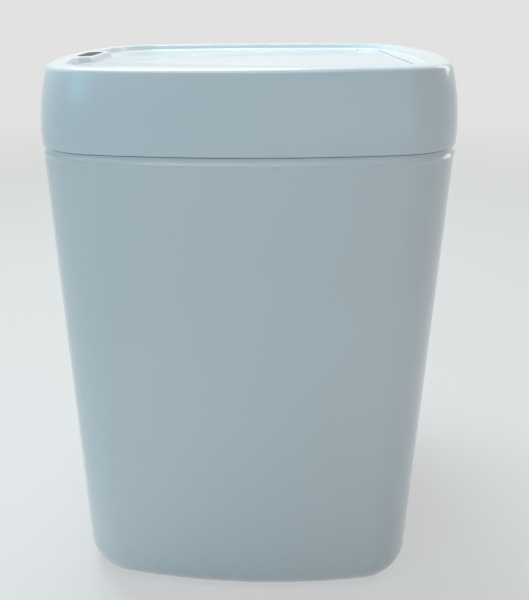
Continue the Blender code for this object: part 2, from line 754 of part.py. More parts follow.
def make_feet():
    """Four rubber feet, each a turned disc pressed into a pocket in the base."""
    top = BASE_CLEARANCE + FOOT_SUNK - FIT_GAP
    rounding = FOOT_RADIUS * 0.1
    profile = [(0.0, top), (FOOT_RADIUS, top), (FOOT_RADIUS, rounding)]
    profile += [(FOOT_RADIUS - rounding, 0.0), (0.0, 0.0)]
    for number, (x, y) in enumerate(foot_places()):
        turned(f"foot_{number + 1}", profile, (x, y, 0.0), material=RUBBER_GREY)


def make_bag_ring():
    """The hoop that pins the bag: a flange on the collar, a skirt inside it and two finger notches."""
    collar_inner = COLLAR_INSET + BODY_WALL
    skirt_outer = collar_inner + FIT_GAP
    skirt_inner = skirt_outer + RING_WALL
    low = RING_FLANGE_LOW - RING_DEPTH
    rings = [
        body_ring(RING_FLANGE_LOW, COLLAR_INSET + EDGE_ROUND),
        body_ring(RING_FLANGE_HIGH, COLLAR_INSET + EDGE_ROUND),
        body_ring(RING_FLANGE_HIGH, skirt_inner),
        body_ring(low, skirt_inner),
        body_ring(low, skirt_outer),
        body_ring(RING_FLANGE_LOW, skirt_outer),
    ]
    ring = carried("bag_ring", rings, INNER_GREY, loop=True)
    reach = half_y_for(SHOULDER_HALF_X)
    notches = []
    for y in mirrored_y(reach):
        low_corner = (-RING_TAB_WIDTH / 2, min(y, 0.0), low - CUT_OVERRUN)
        high_corner = (RING_TAB_WIDTH / 2, max(y, 0.0), low + RING_TAB_DEPTH)
        notches.append(box_tool(f"ring_notch_{'low' if y < 0 else 'high'}", low_corner, high_corner))
    return cut_all(ring, notches)


def head_shell_rings():
    """The head's section, carried round: outer wall, rounded edge, rim, recess, well, ledge and throat."""
    barrel_top = BIN_HEIGHT - TOP_EDGE_ROUND
    outer = [head_ring(HEAD_BOTTOM, EDGE_ROUND), head_ring(HEAD_BOTTOM + EDGE_ROUND)]
    outer.append(head_ring(WIDEST_HEIGHT))
    for share in BARREL_LEVEL_SHARES:
        outer.append(head_ring(mix(WIDEST_HEIGHT, barrel_top, share)))
    for angle_deg in (30.0, 60.0, 90.0):
        angle = math.radians(angle_deg)
        height = barrel_top + TOP_EDGE_ROUND * math.sin(angle)
        outer.append(head_ring(height, TOP_EDGE_ROUND * (1 - math.cos(angle))))
    lip_radius = BARREL_RADIUS + BARREL_GAP
    well_radius = BARREL_RADIUS + RUN_GAP
    middle_z = (FLOOR_LEVEL + HINGE_Z) / 2
    top = [
        recess_ring(BIN_HEIGHT, RECESS_TOP_OUTSET + EDGE_ROUND),
        recess_ring(BIN_HEIGHT - EDGE_ROUND / 2, RECESS_TOP_OUTSET),
        recess_ring(FLOOR_LEVEL + RECESS_FILLET, RECESS_FILLET),
        recess_ring(FLOOR_LEVEL, 0.0),
        recess_ring(FLOOR_LEVEL, -WELL_INSET, barrel_limit(FLOOR_LEVEL, lip_radius)),
        recess_ring(middle_z, -WELL_INSET, barrel_limit(middle_z, well_radius)),
        recess_ring(HINGE_Z, -WELL_INSET, HINGE_X + well_radius),
        recess_ring(LEDGE_LEVEL, -WELL_INSET, HINGE_X + well_radius),
        throat_ring(LEDGE_LEVEL, THROAT_ROUND),
        throat_ring(LEDGE_LEVEL - THROAT_ROUND),
        throat_ring(THROAT_BOTTOM),
    ]
    well_back = HINGE_X + well_radius + LEDGE_WALL
    well_outside = LEDGE_WALL - WELL_INSET
    wall_inner = HEAD_WALL + EDGE_ROUND
    hidden = [
        throat_ring(THROAT_BOTTOM, LEDGE_WALL),
        throat_ring(LEDGE_UNDERSIDE, LEDGE_WALL),
        recess_ring(LEDGE_UNDERSIDE, well_outside, well_back, LEDGE_WALL),
        recess_ring(DECK_UNDERSIDE, well_outside, well_back, LEDGE_WALL),
        recess_ring(DECK_UNDERSIDE, LEDGE_WALL + RECESS_TOP_OUTSET / 2),
        recess_ring(RIM_UNDERSIDE, LEDGE_WALL + RECESS_TOP_OUTSET),
        head_ring(RIM_UNDERSIDE, wall_inner),
    ]
    for share in BARREL_INSIDE_SHARES:
        hidden.append(head_ring(mix(WIDEST_HEIGHT, barrel_top, share), HEAD_WALL))
    hidden += [head_ring(WIDEST_HEIGHT, HEAD_WALL), head_ring(HEAD_BOTTOM, HEAD_WALL)]
    return outer + top + hidden


def lug_outline():
    """A bearing lug seen along Y: an eye on the hinge axis with its leg below, clear of the flap's swing."""
    leg_right = -LUG_LEG_CLEAR
    leg_left = leg_right - LUG_LEG_WIDTH
    foot = LEDGE_UNDERSIDE + LEDGE_WALL / 2 - HINGE_Z
    eye = arc((0.0, 0.0), LUG_RADIUS, -97.0, 180.0, 14)
    return [(leg_right, foot)] + eye + [(leg_left, -LUG_LEG_CLEAR), (leg_left, foot)]


def hinge_bore(name, y_low, y_high):
    start = (HINGE_X, y_low - CUT_OVERRUN, HINGE_Z)
    end = (HINGE_X, y_high + CUT_OVERRUN, HINGE_Z)
    return round_tool(name, start, end, HINGE_ROD_RADIUS + HINGE_ROD_GAP)


def screw_post_places():
    corners = [(x, y) for x in (POST_FRONT_X, POST_REAR_X) for y in mirrored_y(POST_CORNER_Y)]
    return corners + [(POST_MIDDLE_X, y) for y in mirrored_y(POST_MIDDLE_Y)]


def board_post_places():
    x = (MAIN_BOARD_FRONT_X + MAIN_BOARD_REAR_X) / 2
    return [(x, MAIN_BOARD_LOW_Y + 2 * BOARD_POST_RADIUS), (x, MAIN_BOARD_HIGH_Y - 2 * BOARD_POST_RADIUS)]


def sensor_post_places():
    return [(SENSOR_BOARD_X, y) for y in mirrored_y(SENSOR_BOARD_HALF_Y - 2 * BOARD_POST_RADIUS)]


def make_head_shell():
    """The head's casing, with lugs for the hinge rod, posts for the screws and a slot for the window."""
    shell = carried("head_shell", head_shell_rings(), WHITE_SHELL, loop=True)
    additions, cuts = [], []
    for side, y in zip(("low", "high"), mirrored_y(HINGE_HALF_SPAN)):
        lug = flat_tool(f"lug_{side}", [lug_outline()], LUG_WIDTH, along_y(HINGE_X, y, HINGE_Z))
        additions.append(lug)
        cuts.append(hinge_bore(f"lug_bore_{side}", y - LUG_WIDTH / 2, y + LUG_WIDTH / 2))
    post_low = LINER_HIGH + FIT_GAP
    post_top = LEDGE_UNDERSIDE + LEDGE_WALL / 2
    for number, (x, y) in enumerate(screw_post_places()):
        name = f"screw_post_{number + 1}"
        additions.append(round_tool(name, (x, y, post_low), (x, y, post_top), POST_RADIUS))
        bore_low = (x, y, post_low - CUT_OVERRUN)
        bore_high = (x, y, post_low + POST_BORE_DEPTH)
        cuts.append(round_tool(f"{name}_bore", bore_low, bore_high, POST_BORE_RADIUS))
    board_top = LEDGE_UNDERSIDE - MAIN_BOARD_DROP + BOARD_THICKNESS
    for number, (x, y) in enumerate(board_post_places()):
        low, high = (x, y, board_top + FIT_GAP), (x, y, LEDGE_UNDERSIDE + LEDGE_WALL / 2)
        name = f"board_post_{number + 1}"
        additions.append(round_tool(name, low, high, BOARD_POST_RADIUS))
        low, high = (x, y, board_top - CUT_OVERRUN), (x, y, board_top + FIT_GAP + BOARD_BORE_DEPTH)
        cuts.append(round_tool(f"{name}_bore", low, high, POST_BORE_RADIUS))
    sensor_top = RIM_UNDERSIDE - SENSOR_BOARD_DROP + BOARD_THICKNESS
    for number, (x, y) in enumerate(sensor_post_places()):
        low, high = (x, y, sensor_top + FIT_GAP), (x, y, RIM_UNDERSIDE + HEAD_WALL / 2)
        additions.append(round_tool(f"sensor_post_{number + 1}", low, high, BOARD_POST_RADIUS))
    slot_half = SECTOR_WIDTH / 2 + RUN_GAP
    slot_reach = SECTOR_RADIUS + SECTOR_MODULE + RUN_GAP
    slot_low = (HINGE_X - slot_reach, SECTOR_Y - slot_half, LEDGE_UNDERSIDE - CUT_OVERRUN)
    slot_high = (HINGE_X + slot_reach, SECTOR_Y + slot_half, HINGE_Z + 2 * SECTOR_MODULE)
    cuts.append(box_tool("sector_slot", slot_low, slot_high))
    opening = stadium(WINDOW_HALF_LENGTH + FIT_GAP, WINDOW_HALF_WIDTH + FIT_GAP)
    place = Matrix.Translation((WINDOW_X, 0.0, BIN_HEIGHT))
    cuts.append(flat_tool("window_slot", [opening], 2 * HEAD_WALL + CUT_OVERRUN, place))
    join_all(shell, additions)
    return cut_all(shell, cuts)


def pan_outline(margin):
    """The pan seen from above: straight in front, bowed behind with the head, drawn in by a margin."""
    half_y = PAN_HALF_Y - margin
    radius = PAN_BOW_RADIUS - margin
    reach_deg = math.degrees(math.asin(half_y / radius))
    rear = arc((PAN_REAR_X - PAN_BOW_RADIUS, 0.0), radius, -reach_deg, reach_deg, 11)
    return [(PAN_FRONT_X + margin, half_y), (PAN_FRONT_X + margin, -half_y)] + rear


def upright_piece(name, outline, low, high, material=None, collection=CUTTERS):
    """A flat outline seen from above, raised from one height to another."""
    place = Matrix.Translation((0.0, 0.0, (low + high) / 2))
    return flat_piece(name, [outline], high - low, place, material, collection)


def make_liner():
    """The head's underside cover: a plate round the throat and a pan with the battery door's opening."""
    inset = HEAD_WALL + FIT_GAP
    rings = [
        head_ring(LINER_LOW, inset, plan_height=HEAD_BOTTOM),
        head_ring(LINER_HIGH, inset, plan_height=HEAD_BOTTOM),
        throat_ring(LINER_HIGH, LEDGE_WALL + FIT_GAP),
        throat_ring(LINER_LOW, LEDGE_WALL + FIT_GAP),
    ]
    liner = carried("head_liner", rings, INNER_GREY, loop=True)
    pan = upright_piece("pan_outside", pan_outline(0.0), PAN_FLOOR_HEIGHT, LINER_HIGH - FIT_GAP)
    cuts = [upright_piece("pan_inside", pan_outline(PAN_WALL), PAN_FLOOR_TOP, LINER_HIGH + CUT_OVERRUN)]
    door_low, door_high = door_corners()
    gap = Vector((FIT_GAP, FIT_GAP, CUT_OVERRUN))
    hinge_room = Vector((0.0, DOOR_BARREL_RADIUS, 0.0))
    cuts.append(box_tool("door_opening", Vector(door_low) - gap - hinge_room, Vector(door_high) + gap))
    ears = []
    for side, inner, way in (("low", door_low[0] - FIT_GAP, -1), ("high", door_high[0] + FIT_GAP, 1)):
        axis_z = door_low[2] + DOOR_AXIS_RISE
        ends = [(inner + way * reach, door_low[1], axis_z) for reach in (0.0, DOOR_EAR_WIDTH)]
        ears.append(round_tool(f"door_ear_{side}", *ends, DOOR_EAR_RADIUS))
    cuts.append(door_pin_bore("ear_bore"))
    knob_half = Vector((SWITCH_KNOB_LENGTH / 2, SWITCH_KNOB_WIDTH / 2, PAN_WALL + CUT_OVERRUN - FIT_GAP))
    knob_half += Vector((FIT_GAP, FIT_GAP, FIT_GAP))
    middle = Vector((SWITCH_X, SWITCH_Y, PAN_FLOOR_HEIGHT))
    travel = Vector((SWITCH_TRAVEL, 0.0, 0.0))
    cuts.append(box_tool("switch_opening", middle - knob_half, middle + knob_half + travel))
    for number, (x, y) in enumerate(screw_post_places()):
        low, high = (x, y, LINER_LOW - CUT_OVERRUN), (x, y, LINER_HIGH + CUT_OVERRUN)
        radius = SCREW_RADIUS + FIT_GAP
        cuts.append(round_tool(f"liner_hole_{number + 1}", low, high, radius))
    join_all(liner, [pan] + ears)
    return cut_all(liner, cuts)


def door_corners():
    inset = BAY_WALL + DOOR_MARGIN
    low = (BAY_FRONT_X + inset, BAY_LOW_Y + inset, PAN_FLOOR_HEIGHT)
    high = (BAY_REAR_X - inset, BAY_HIGH_Y - inset, PAN_FLOOR_HEIGHT + DOOR_THICKNESS)
    return low, high


def door_axis(overrun):
    """The two ends of the battery door's hinge line, past its ears by an overrun."""
    low, high = door_corners()
    reach = FIT_GAP + DOOR_EAR_WIDTH + overrun
    axis_z = low[2] + DOOR_AXIS_RISE
    return (low[0] - reach, low[1], axis_z), (high[0] + reach, low[1], axis_z)


def door_pin_bore(name):
    return cylinder(
        name, *door_axis(CUT_OVERRUN), DOOR_PIN_RADIUS + HINGE_ROD_GAP, SMALL_SEGMENTS, collection=CUTTERS
    )


def screw_profile(head_radius, length):
    """A pan-head screw from the tip of its shank at the top down to its head, as (radius, height) points."""
    return [
        (0.0, length),
        (SCREW_RADIUS, length),
        (SCREW_RADIUS, 0.0),
        (head_radius, 0.0),
        (head_radius, -SCREW_HEAD_HEIGHT / 2),
        (head_radius - SCREW_HEAD_HEIGHT / 2, -SCREW_HEAD_HEIGHT),
        (0.0, -SCREW_HEAD_HEIGHT),
    ]


def screws(name, places, head_radius, length, tilt=None):
    """One turned screw at each place, its head below and its shank above, or tilted from there."""
    profile = screw_profile(head_radius, length)
    for number, place in enumerate(places):
        turned(f"{name}_{number + 1}", profile, place, SCREW_SEGMENTS, STEEL, tilt)


def make_screws():
    """The screws that hold the liner, the flap's tray, the control board and the gearbox cover."""
    places = [(x, y, LINER_LOW - FIT_GAP) for x, y in screw_post_places()]
    screws("head_screw", places, SCREW_HEAD_RADIUS, SCREW_LENGTH)
    places = [(x, y, FLAP_UNDERSIDE - FIT_GAP) for x, y in flap_screw_places()]
    screws("flap_screw", places, SMALL_SCREW_HEAD_RADIUS, FLAP_SCREW_LENGTH)
    board_low = LEDGE_UNDERSIDE - MAIN_BOARD_DROP
    places = [(x, y, board_low - FIT_GAP) for x, y in board_post_places()]
    screws("board_screw", places, SMALL_SCREW_HEAD_RADIUS, BOARD_SCREW_LENGTH)
    cover_y = CASE_Y_HIGH + COVER_THICKNESS + FIT_GAP
    places = [(x, cover_y, z) for x, z in cover_screw_places()]
    screws("cover_screw", places, SMALL_SCREW_HEAD_RADIUS, COVER_SCREW_LENGTH, (math.radians(90), 0.0, 0.0))


def flap_screw_places():
    """Four places over the throat, clear of the ledge that the flap shuts against."""
    xs = (THROAT_FRONT_X + FLAP_SCREW_INSET, THROAT_REAR_X - FLAP_SCREW_INSET)
    return [(x, y) for x in xs for y in mirrored_y(THROAT_HALF_Y - FLAP_SCREW_INSET)]


def cover_screw_places():
    front, rear = CASE_FRONT_X + COVER_SCREW_INSET, CASE_REAR_X - COVER_SCREW_INSET
    low, high = CASE_BOTTOM + COVER_SCREW_INSET, CASE_TOP - COVER_SCREW_INSET
    return [(front, low), (rear, low), (rear, high)]


def flap_ring(height, inset, rear_limit):
    """The flap's outline at a height; low down its wings draw in, which clears the well as it turns."""
    drift = WING_DRIFT if height < mix(HINGE_Z, FLOOR_LEVEL, 0.8) else 0.0
    return recess_ring(height, -WELL_INSET - RUN_GAP - inset, rear_limit, -RUN_GAP - inset - drift)


def make_flap_outer():
    """The flap's top: a flat panel with a skirt, its rear edge a barrel about the hinge axis."""
    inner_radius = BARREL_RADIUS - FLAP_WALL
    panel_low = FLOOR_LEVEL - FLAP_WALL
    turn_z = HINGE_Z - inner_radius
    inner_heights = (panel_low, mix(HINGE_Z, panel_low, 0.5), HINGE_Z, HINGE_Z - inner_radius / 2, turn_z)
    inside = [flap_ring(z, FLAP_WALL, barrel_limit(z, inner_radius)) for z in inner_heights]
    inside.append(flap_ring(FLAP_UNDERSIDE, FLAP_WALL, HINGE_X - FLAP_WALL))
    outside = [flap_ring(FLAP_UNDERSIDE, 0.0, HINGE_X)]
    for share in (-0.88, -0.6, 0.0, 0.45):
        z = HINGE_Z + share * BARREL_RADIUS
        outside.append(flap_ring(z, 0.0, barrel_limit(z, BARREL_RADIUS)))
    edge = EDGE_ROUND / 2
    rear = barrel_limit(FLOOR_LEVEL - edge, BARREL_RADIUS)
    outside.append(flap_ring(FLOOR_LEVEL - edge, 0.0, rear))
    outside.append(flap_ring(FLOOR_LEVEL, edge, rear - edge))
    flap = carried("flap_outer", inside + outside, WHITE_SHELL)
    bosses, bores = [], []
    boss_low = FLAP_UNDERSIDE + FLAP_TRAY_FLOOR + FIT_GAP
    for number, (x, y) in enumerate(flap_screw_places()):
        low, high = (x, y, boss_low), (x, y, panel_low + FLAP_WALL / 2)
        name = f"flap_boss_{number + 1}"
        bosses.append(round_tool(name, low, high, BOARD_POST_RADIUS))
        low, high = (x, y, boss_low - CUT_OVERRUN), (x, y, boss_low + FLAP_SCREW_LENGTH)
        bores.append(round_tool(f"{name}_bore", low, high, POST_BORE_RADIUS))
    join_all(flap, bosses)
    return cut_all(flap, flap_notches("outer") + bores)


def flap_notches(tag):
    """Cutters that let the lugs and the sector gear through the flap's rear skirt and floor."""
    cuts = []
    lug_half = LUG_WIDTH / 2 + RUN_GAP
    top = HINGE_Z + RUN_GAP
    for side, y in zip(("low", "high"), mirrored_y(HINGE_HALF_SPAN)):
        front = HINGE_X - LUG_LEG_WIDTH - LUG_LEG_CLEAR - RUN_GAP
        low = (front, y - lug_half, FLAP_UNDERSIDE - CUT_OVERRUN)
        high = (HINGE_X + BARREL_RADIUS + CUT_OVERRUN, y + lug_half, top)
        cuts.append(box_tool(f"lug_notch_{tag}_{side}", low, high))
    half = SECTOR_WIDTH / 2 + FIT_GAP
    low = (HINGE_X - SECTOR_MODULE * 3, SECTOR_Y - half, FLAP_UNDERSIDE - CUT_OVERRUN)
    high = (HINGE_X + BARREL_RADIUS + CUT_OVERRUN, SECTOR_Y + half, HINGE_Z + 2 * SECTOR_MODULE)
    cuts.append(box_tool(f"sector_notch_{tag}", low, high))
    return cuts


def knuckle_outline():
    """A knuckle seen along Y: an eye round the hinge rod and a foot on the tray's floor."""
    floor = FLAP_UNDERSIDE + FLAP_TRAY_FLOOR / 2 - HINGE_Z
    eye = arc((0.0, 0.0), KNUCKLE_RADIUS, -80.0, 120.0, 10)
    return [(-FLAP_WALL - FIT_GAP, floor)] + eye + [(-KNUCKLE_LENGTH, floor)]


def make_flap_inner():
    """The flap's tray: a floor inside the skirt, a low rim, and two knuckles for the hinge rod."""
    outer_inset = FLAP_WALL + FIT_GAP
    inner_inset = outer_inset + FLAP_WALL
    rear = HINGE_X - FLAP_WALL - FIT_GAP
    floor_top = FLAP_UNDERSIDE + FLAP_TRAY_FLOOR
    rim_top = floor_top + TRAY_RIM_HEIGHT
    rear_inner = rear - KNUCKLE_RADIUS / 2
    rings = [
        flap_ring(FLAP_UNDERSIDE, outer_inset, rear),
        flap_ring(floor_top, outer_inset, rear),
        flap_ring(rim_top, outer_inset, rear_inner),
        flap_ring(rim_top, inner_inset, rear_inner - FLAP_WALL),
        flap_ring(floor_top, inner_inset, rear_inner - FLAP_WALL),
    ]
    tray = carried("flap_inner", rings, INNER_GREY)
    additions, bores = [], []
    knuckle_y = HINGE_HALF_SPAN - LUG_WIDTH / 2 - RUN_GAP - KNUCKLE_WIDTH / 2
    for side, y in zip(("low", "high"), mirrored_y(knuckle_y)):
        name = f"knuckle_{side}"
        additions.append(flat_tool(name, [knuckle_outline()], KNUCKLE_WIDTH, along_y(HINGE_X, y, HINGE_Z)))
        bores.append(hinge_bore(f"{name}_bore", y - KNUCKLE_WIDTH / 2, y + KNUCKLE_WIDTH / 2))
    join_all(tray, additions)
    pockets = []
    for side, y in zip(("low", "high"), mirrored_y(BUFFER_Y)):
        low = (BUFFER_X, y, FLAP_UNDERSIDE - CUT_OVERRUN)
        high = (BUFFER_X, y, FLAP_UNDERSIDE + BUFFER_SUNK / 2)
        pockets.append(round_tool(f"buffer_pocket_{side}", low, high, BUFFER_RADIUS + FIT_GAP))
    half = SECTOR_WIDTH / 2 + FIT_GAP
    seat_low = (HINGE_X - SECTOR_TONGUE - FIT_GAP, SECTOR_Y - half, floor_top - TONGUE_SEAT)
    seat_high = (HINGE_X, SECTOR_Y + half, rim_top + CUT_OVERRUN)
    pockets.append(box_tool("tongue_seat", seat_low, seat_high))
    for number, (x, y) in enumerate(flap_screw_places()):
        low, high = (x, y, FLAP_UNDERSIDE - CUT_OVERRUN), (x, y, floor_top + CUT_OVERRUN)
        radius = SCREW_RADIUS + FIT_GAP
        pockets.append(round_tool(f"tray_hole_{number + 1}", low, high, radius))
    return cut_all(tray, bores + flap_notches("inner") + pockets)


def make_buffers():
    """Two rubber pads under the flap's front edge, which meet the ledge when it shuts."""
    low = LEDGE_LEVEL + FIT_GAP / 3 - FLAP_UNDERSIDE
    high = BUFFER_SUNK / 2 - FIT_GAP
    profile = [(0.0, high), (BUFFER_RADIUS, high), (BUFFER_RADIUS, low / 2)]
    profile += [(BUFFER_RADIUS + low, low), (0.0, low)]
    made = []
    for side, y in zip(("left", "right"), mirrored_y(BUFFER_Y)):
        place = (BUFFER_X, y, FLAP_UNDERSIDE)
        made.append(turned(f"flap_buffer_{side}", profile, place, SMALL_SEGMENTS, RUBBER_GREY))
    return made


def make_hinge_rod():
    reach = HINGE_HALF_SPAN + LUG_WIDTH
    start, end = (HINGE_X, -reach, HINGE_Z), (HINGE_X, reach, HINGE_Z)
    return cylinder("hinge_rod", start, end, HINGE_ROD_RADIUS, SMALL_SEGMENTS, STEEL)


def make_sector_gear():
    """The toothed sector on the flap: a hub round the rod, a fan of teeth and a tongue on the tray."""
    pitch_deg = 360.0 / SECTOR_FULL_TEETH
    first = math.ceil((SECTOR_LOW_DEG - OUTPUT_ANGLE_DEG) / pitch_deg)
    last = math.floor((SECTOR_HIGH_DEG - OUTPUT_ANGLE_DEG) / pitch_deg)
    teeth = gear_outline(SECTOR_MODULE, SECTOR_FULL_TEETH, OUTPUT_ANGLE_DEG, range(first, last + 1))
    floor = FLAP_UNDERSIDE + FLAP_TRAY_FLOOR - TONGUE_SEAT + FIT_GAP - HINGE_Z
    hub = arc((0.0, 0.0), KNUCKLE_RADIUS, 20.0, 150.0, 8)
    tongue = [(-SECTOR_TONGUE, floor / 2), (-SECTOR_TONGUE, floor), (-SECTOR_MODULE * 2.5, floor)]
    hole = circle(HINGE_ROD_RADIUS + HINGE_ROD_GAP, SMALL_SEGMENTS)
    place = along_y(HINGE_X, SECTOR_Y, HINGE_Z)
    return flat_piece("sector_gear", [teeth + hub + tongue, hole], SECTOR_WIDTH, place, NYLON_WHITE)


def make_output_gear():
    """The output wheel in the case, its shaft through the wall, and the pinion that drives the sector."""
    pitch_deg = 360.0 / OUTPUT_PINION_TEETH
    wheel_low = CASE_Y_LOW + CASE_WALL + RUN_GAP
    wheel_y = wheel_low + OUTPUT_WHEEL_WIDTH / 2
    wheel = flat_piece(
        "output_gear",
        [gear_outline(TRAIN_MODULE, OUTPUT_WHEEL_TEETH, 0.0)],
        OUTPUT_WHEEL_WIDTH,
        along_y(OUTPUT_X, wheel_y, OUTPUT_Z),
        NYLON_WHITE,
    )
    pinion_first = OUTPUT_ANGLE_DEG + 180.0 + pitch_deg / 2
    pinion = flat_piece(
        "output_pinion",
        [gear_outline(SECTOR_MODULE, OUTPUT_PINION_TEETH, pinion_first)],
        SECTOR_WIDTH + RUN_GAP,
        along_y(OUTPUT_X, SECTOR_Y, OUTPUT_Z),
        collection=CUTTERS,
    )
    shaft_low = SECTOR_Y - SECTOR_WIDTH / 2
    shaft_high = CASE_Y_HIGH + COVER_THICKNESS / 2
    start, end = (OUTPUT_X, shaft_low, OUTPUT_Z), (OUTPUT_X, shaft_high, OUTPUT_Z)
    shaft = round_tool("output_shaft", start, end, SHAFT_RADIUS, ROUND_SEGMENTS)
    return join_all(wheel, [pinion, shaft])


def make_idler_gear():
    """A compound wheel: the large wheel takes the motor's pinion, the small one drives the output wheel."""
    small_low = CASE_Y_LOW + CASE_WALL + RUN_GAP
    small_width = OUTPUT_WHEEL_WIDTH + RUN_GAP
    pitch_deg = 360.0 / IDLER_PINION_TEETH
    small = flat_piece(
        "idler_gear",
        [gear_outline(TRAIN_MODULE, IDLER_PINION_TEETH, pitch_deg / 2)],
        small_width,
        along_y(IDLER_X, small_low + small_width / 2, IDLER_Z),
        NYLON_WHITE,
    )
    large_low = small_low + OUTPUT_WHEEL_WIDTH + RUN_GAP / 2
    large = flat_piece(
        "idler_wheel",
        [gear_outline(MOTOR_MODULE, IDLER_WHEEL_TEETH, 0.0)],
        IDLER_WHEEL_WIDTH,
        along_y(IDLER_X, large_low + IDLER_WHEEL_WIDTH / 2, IDLER_Z),
        collection=CUTTERS,
    )
    join_all(small, [large])
    low = (IDLER_X, small_low - CUT_OVERRUN, IDLER_Z)
    high = (IDLER_X, large_low + IDLER_WHEEL_WIDTH + CUT_OVERRUN, IDLER_Z)
    bore = round_tool("idler_bore", low, high, PIN_RADIUS + HINGE_ROD_GAP)
    return cut_all(small, [bore])


def idler_wheel_low_y():
    return CASE_Y_LOW + CASE_WALL + RUN_GAP + OUTPUT_WHEEL_WIDTH + RUN_GAP / 2


def make_motor_pinion():
    low = idler_wheel_low_y()
    teeth = gear_outline(MOTOR_MODULE, MOTOR_PINION_TEETH, 360.0 / MOTOR_PINION_TEETH / 2)
    return flat_piece(
        "motor_pinion",
        [teeth, circle(PIN_RADIUS + FIT_GAP / 3, SMALL_SEGMENTS)],
        MOTOR_PINION_LENGTH,
        along_y(MOTOR_X, low + MOTOR_PINION_LENGTH / 2, MOTOR_Z),
        BRASS,
    )


def make_motor_shaft():
    low = (MOTOR_X, idler_wheel_low_y(), MOTOR_Z)
    high = (MOTOR_X, motor_y_low() - MOTOR_BOSS_LENGTH + CUT_OVERRUN, MOTOR_Z)
    return move_origin(cylinder("motor_shaft", low, high, PIN_RADIUS, SMALL_SEGMENTS, STEEL), low)


def motor_y_low():
    return CASE_Y_HIGH + COVER_THICKNESS + FIT_GAP


def motor_outline():
    """The can seen along Y: a circle with flats at both sides."""
    flat_deg = math.degrees(math.acos(MOTOR_FLAT / MOTOR_RADIUS))
    centre = (0.0, 0.0)
    top = arc(centre, MOTOR_RADIUS, flat_deg, 180.0 - flat_deg, 9)
    bottom = arc(centre, MOTOR_RADIUS, 180.0 + flat_deg, 360.0 - flat_deg, 9)
    return top + bottom


def make_motor():
    """The drive motor's can with its bearing boss, bored for the shaft."""
    low = motor_y_low()
    place = along_y(MOTOR_X, low + MOTOR_LENGTH / 2, MOTOR_Z)
    can = flat_piece("drive_motor", [motor_outline()], MOTOR_LENGTH, place, STEEL)
    boss_low = (MOTOR_X, low - MOTOR_BOSS_LENGTH, MOTOR_Z)
    boss_high = (MOTOR_X, low + MOTOR_BOSS_LENGTH, MOTOR_Z)
    boss = cylinder("motor_boss", boss_low, boss_high, MOTOR_BOSS_RADIUS, collection=CUTTERS)
    bore_high = (MOTOR_X, low + 2 * CUT_OVERRUN, MOTOR_Z)
    bore_low = (MOTOR_X, low - MOTOR_BOSS_LENGTH - CUT_OVERRUN, MOTOR_Z)
    bore = round_tool("motor_bore", bore_low, bore_high, PIN_RADIUS + HINGE_ROD_GAP)
    join_all(can, [boss])
    return cut_all(can, [bore])


def make_gear_case():
    """The gearbox's open box: its floor at low Y with the output shaft's bearing, its mouth at high Y."""
    low = (CASE_FRONT_X, CASE_Y_LOW, CASE_BOTTOM)
    high = (CASE_REAR_X, CASE_Y_HIGH, CASE_TOP)
    case = box("gearbox_case", low, high, INNER_GREY)
    wall = Vector((CASE_WALL, CASE_WALL, CASE_WALL))
    inside_high = Vector(high) - wall
    inside_high.y = CASE_Y_HIGH + CUT_OVERRUN
    cuts = [box_tool("case_inside", Vector(low) + wall, inside_high)]
    start = (OUTPUT_X, CASE_Y_LOW - CUT_OVERRUN, OUTPUT_Z)
    end = (OUTPUT_X, CASE_Y_LOW + CASE_WALL + CUT_OVERRUN, OUTPUT_Z)
    cuts.append(cylinder("output_bearing", start, end, SHAFT_RADIUS + HINGE_ROD_GAP, collection=CUTTERS))
    start = (IDLER_X, CASE_Y_LOW - CUT_OVERRUN, IDLER_Z)
    end = (IDLER_X, CASE_Y_LOW + CASE_WALL + CUT_OVERRUN, IDLER_Z)
    cuts.append(round_tool("idler_pin_seat", start, end, PIN_RADIUS + HINGE_ROD_GAP))
    cut_all(case, cuts)
    bosses, bores = [], []
    for number, (x, z) in enumerate(cover_screw_places()):
        name = f"cover_boss_{number + 1}"
        start, end = (x, CASE_Y_LOW + CASE_WALL / 2, z), (x, CASE_Y_HIGH - FIT_GAP, z)
        bosses.append(round_tool(name, start, end, COVER_BOSS_RADIUS))
        start, end = (x, CASE_Y_HIGH - COVER_SCREW_LENGTH, z), (x, CASE_Y_HIGH + CUT_OVERRUN, z)
        bores.append(round_tool(f"{name}_bore", start, end, POST_BORE_RADIUS))
    join_all(case, bosses)
    return cut_all(case, bores)


def make_gear_cover():
    """The plate that shuts the gearbox and carries the motor, with a hole for its boss."""
    low = (CASE_FRONT_X, CASE_Y_HIGH + FIT_GAP, CASE_BOTTOM)
    high = (CASE_REAR_X, CASE_Y_HIGH + COVER_THICKNESS, CASE_TOP)
    cover = box("gearbox_cover", low, high, INNER_GREY)
    cuts = []
    holes = (
        ("boss_hole", MOTOR_X, MOTOR_Z, MOTOR_BOSS_RADIUS + FIT_GAP),
        ("shaft_hole", OUTPUT_X, OUTPUT_Z, SHAFT_RADIUS + HINGE_ROD_GAP),
        ("pin_hole", IDLER_X, IDLER_Z, PIN_RADIUS + HINGE_ROD_GAP),
    )
    holes += tuple((f"screw_hole_{x:.3f}_{z:.3f}", x, z, POST_BORE_RADIUS) for x, z in cover_screw_places())
    for name, x, z, radius in holes:
        start, end = (x, CASE_Y_HIGH - CUT_OVERRUN, z), (x, CASE_Y_HIGH + COVER_THICKNESS + CUT_OVERRUN, z)
        cuts.append(round_tool(name, start, end, radius))
    return cut_all(cover, cuts)


def make_idler_pin():
    low = (IDLER_X, CASE_Y_LOW + CASE_WALL / 2, IDLER_Z)
    high = (IDLER_X, CASE_Y_HIGH + COVER_THICKNESS / 2, IDLER_Z)
    return cylinder("idler_pin", low, high, PIN_RADIUS, SMALL_SEGMENTS, STEEL)


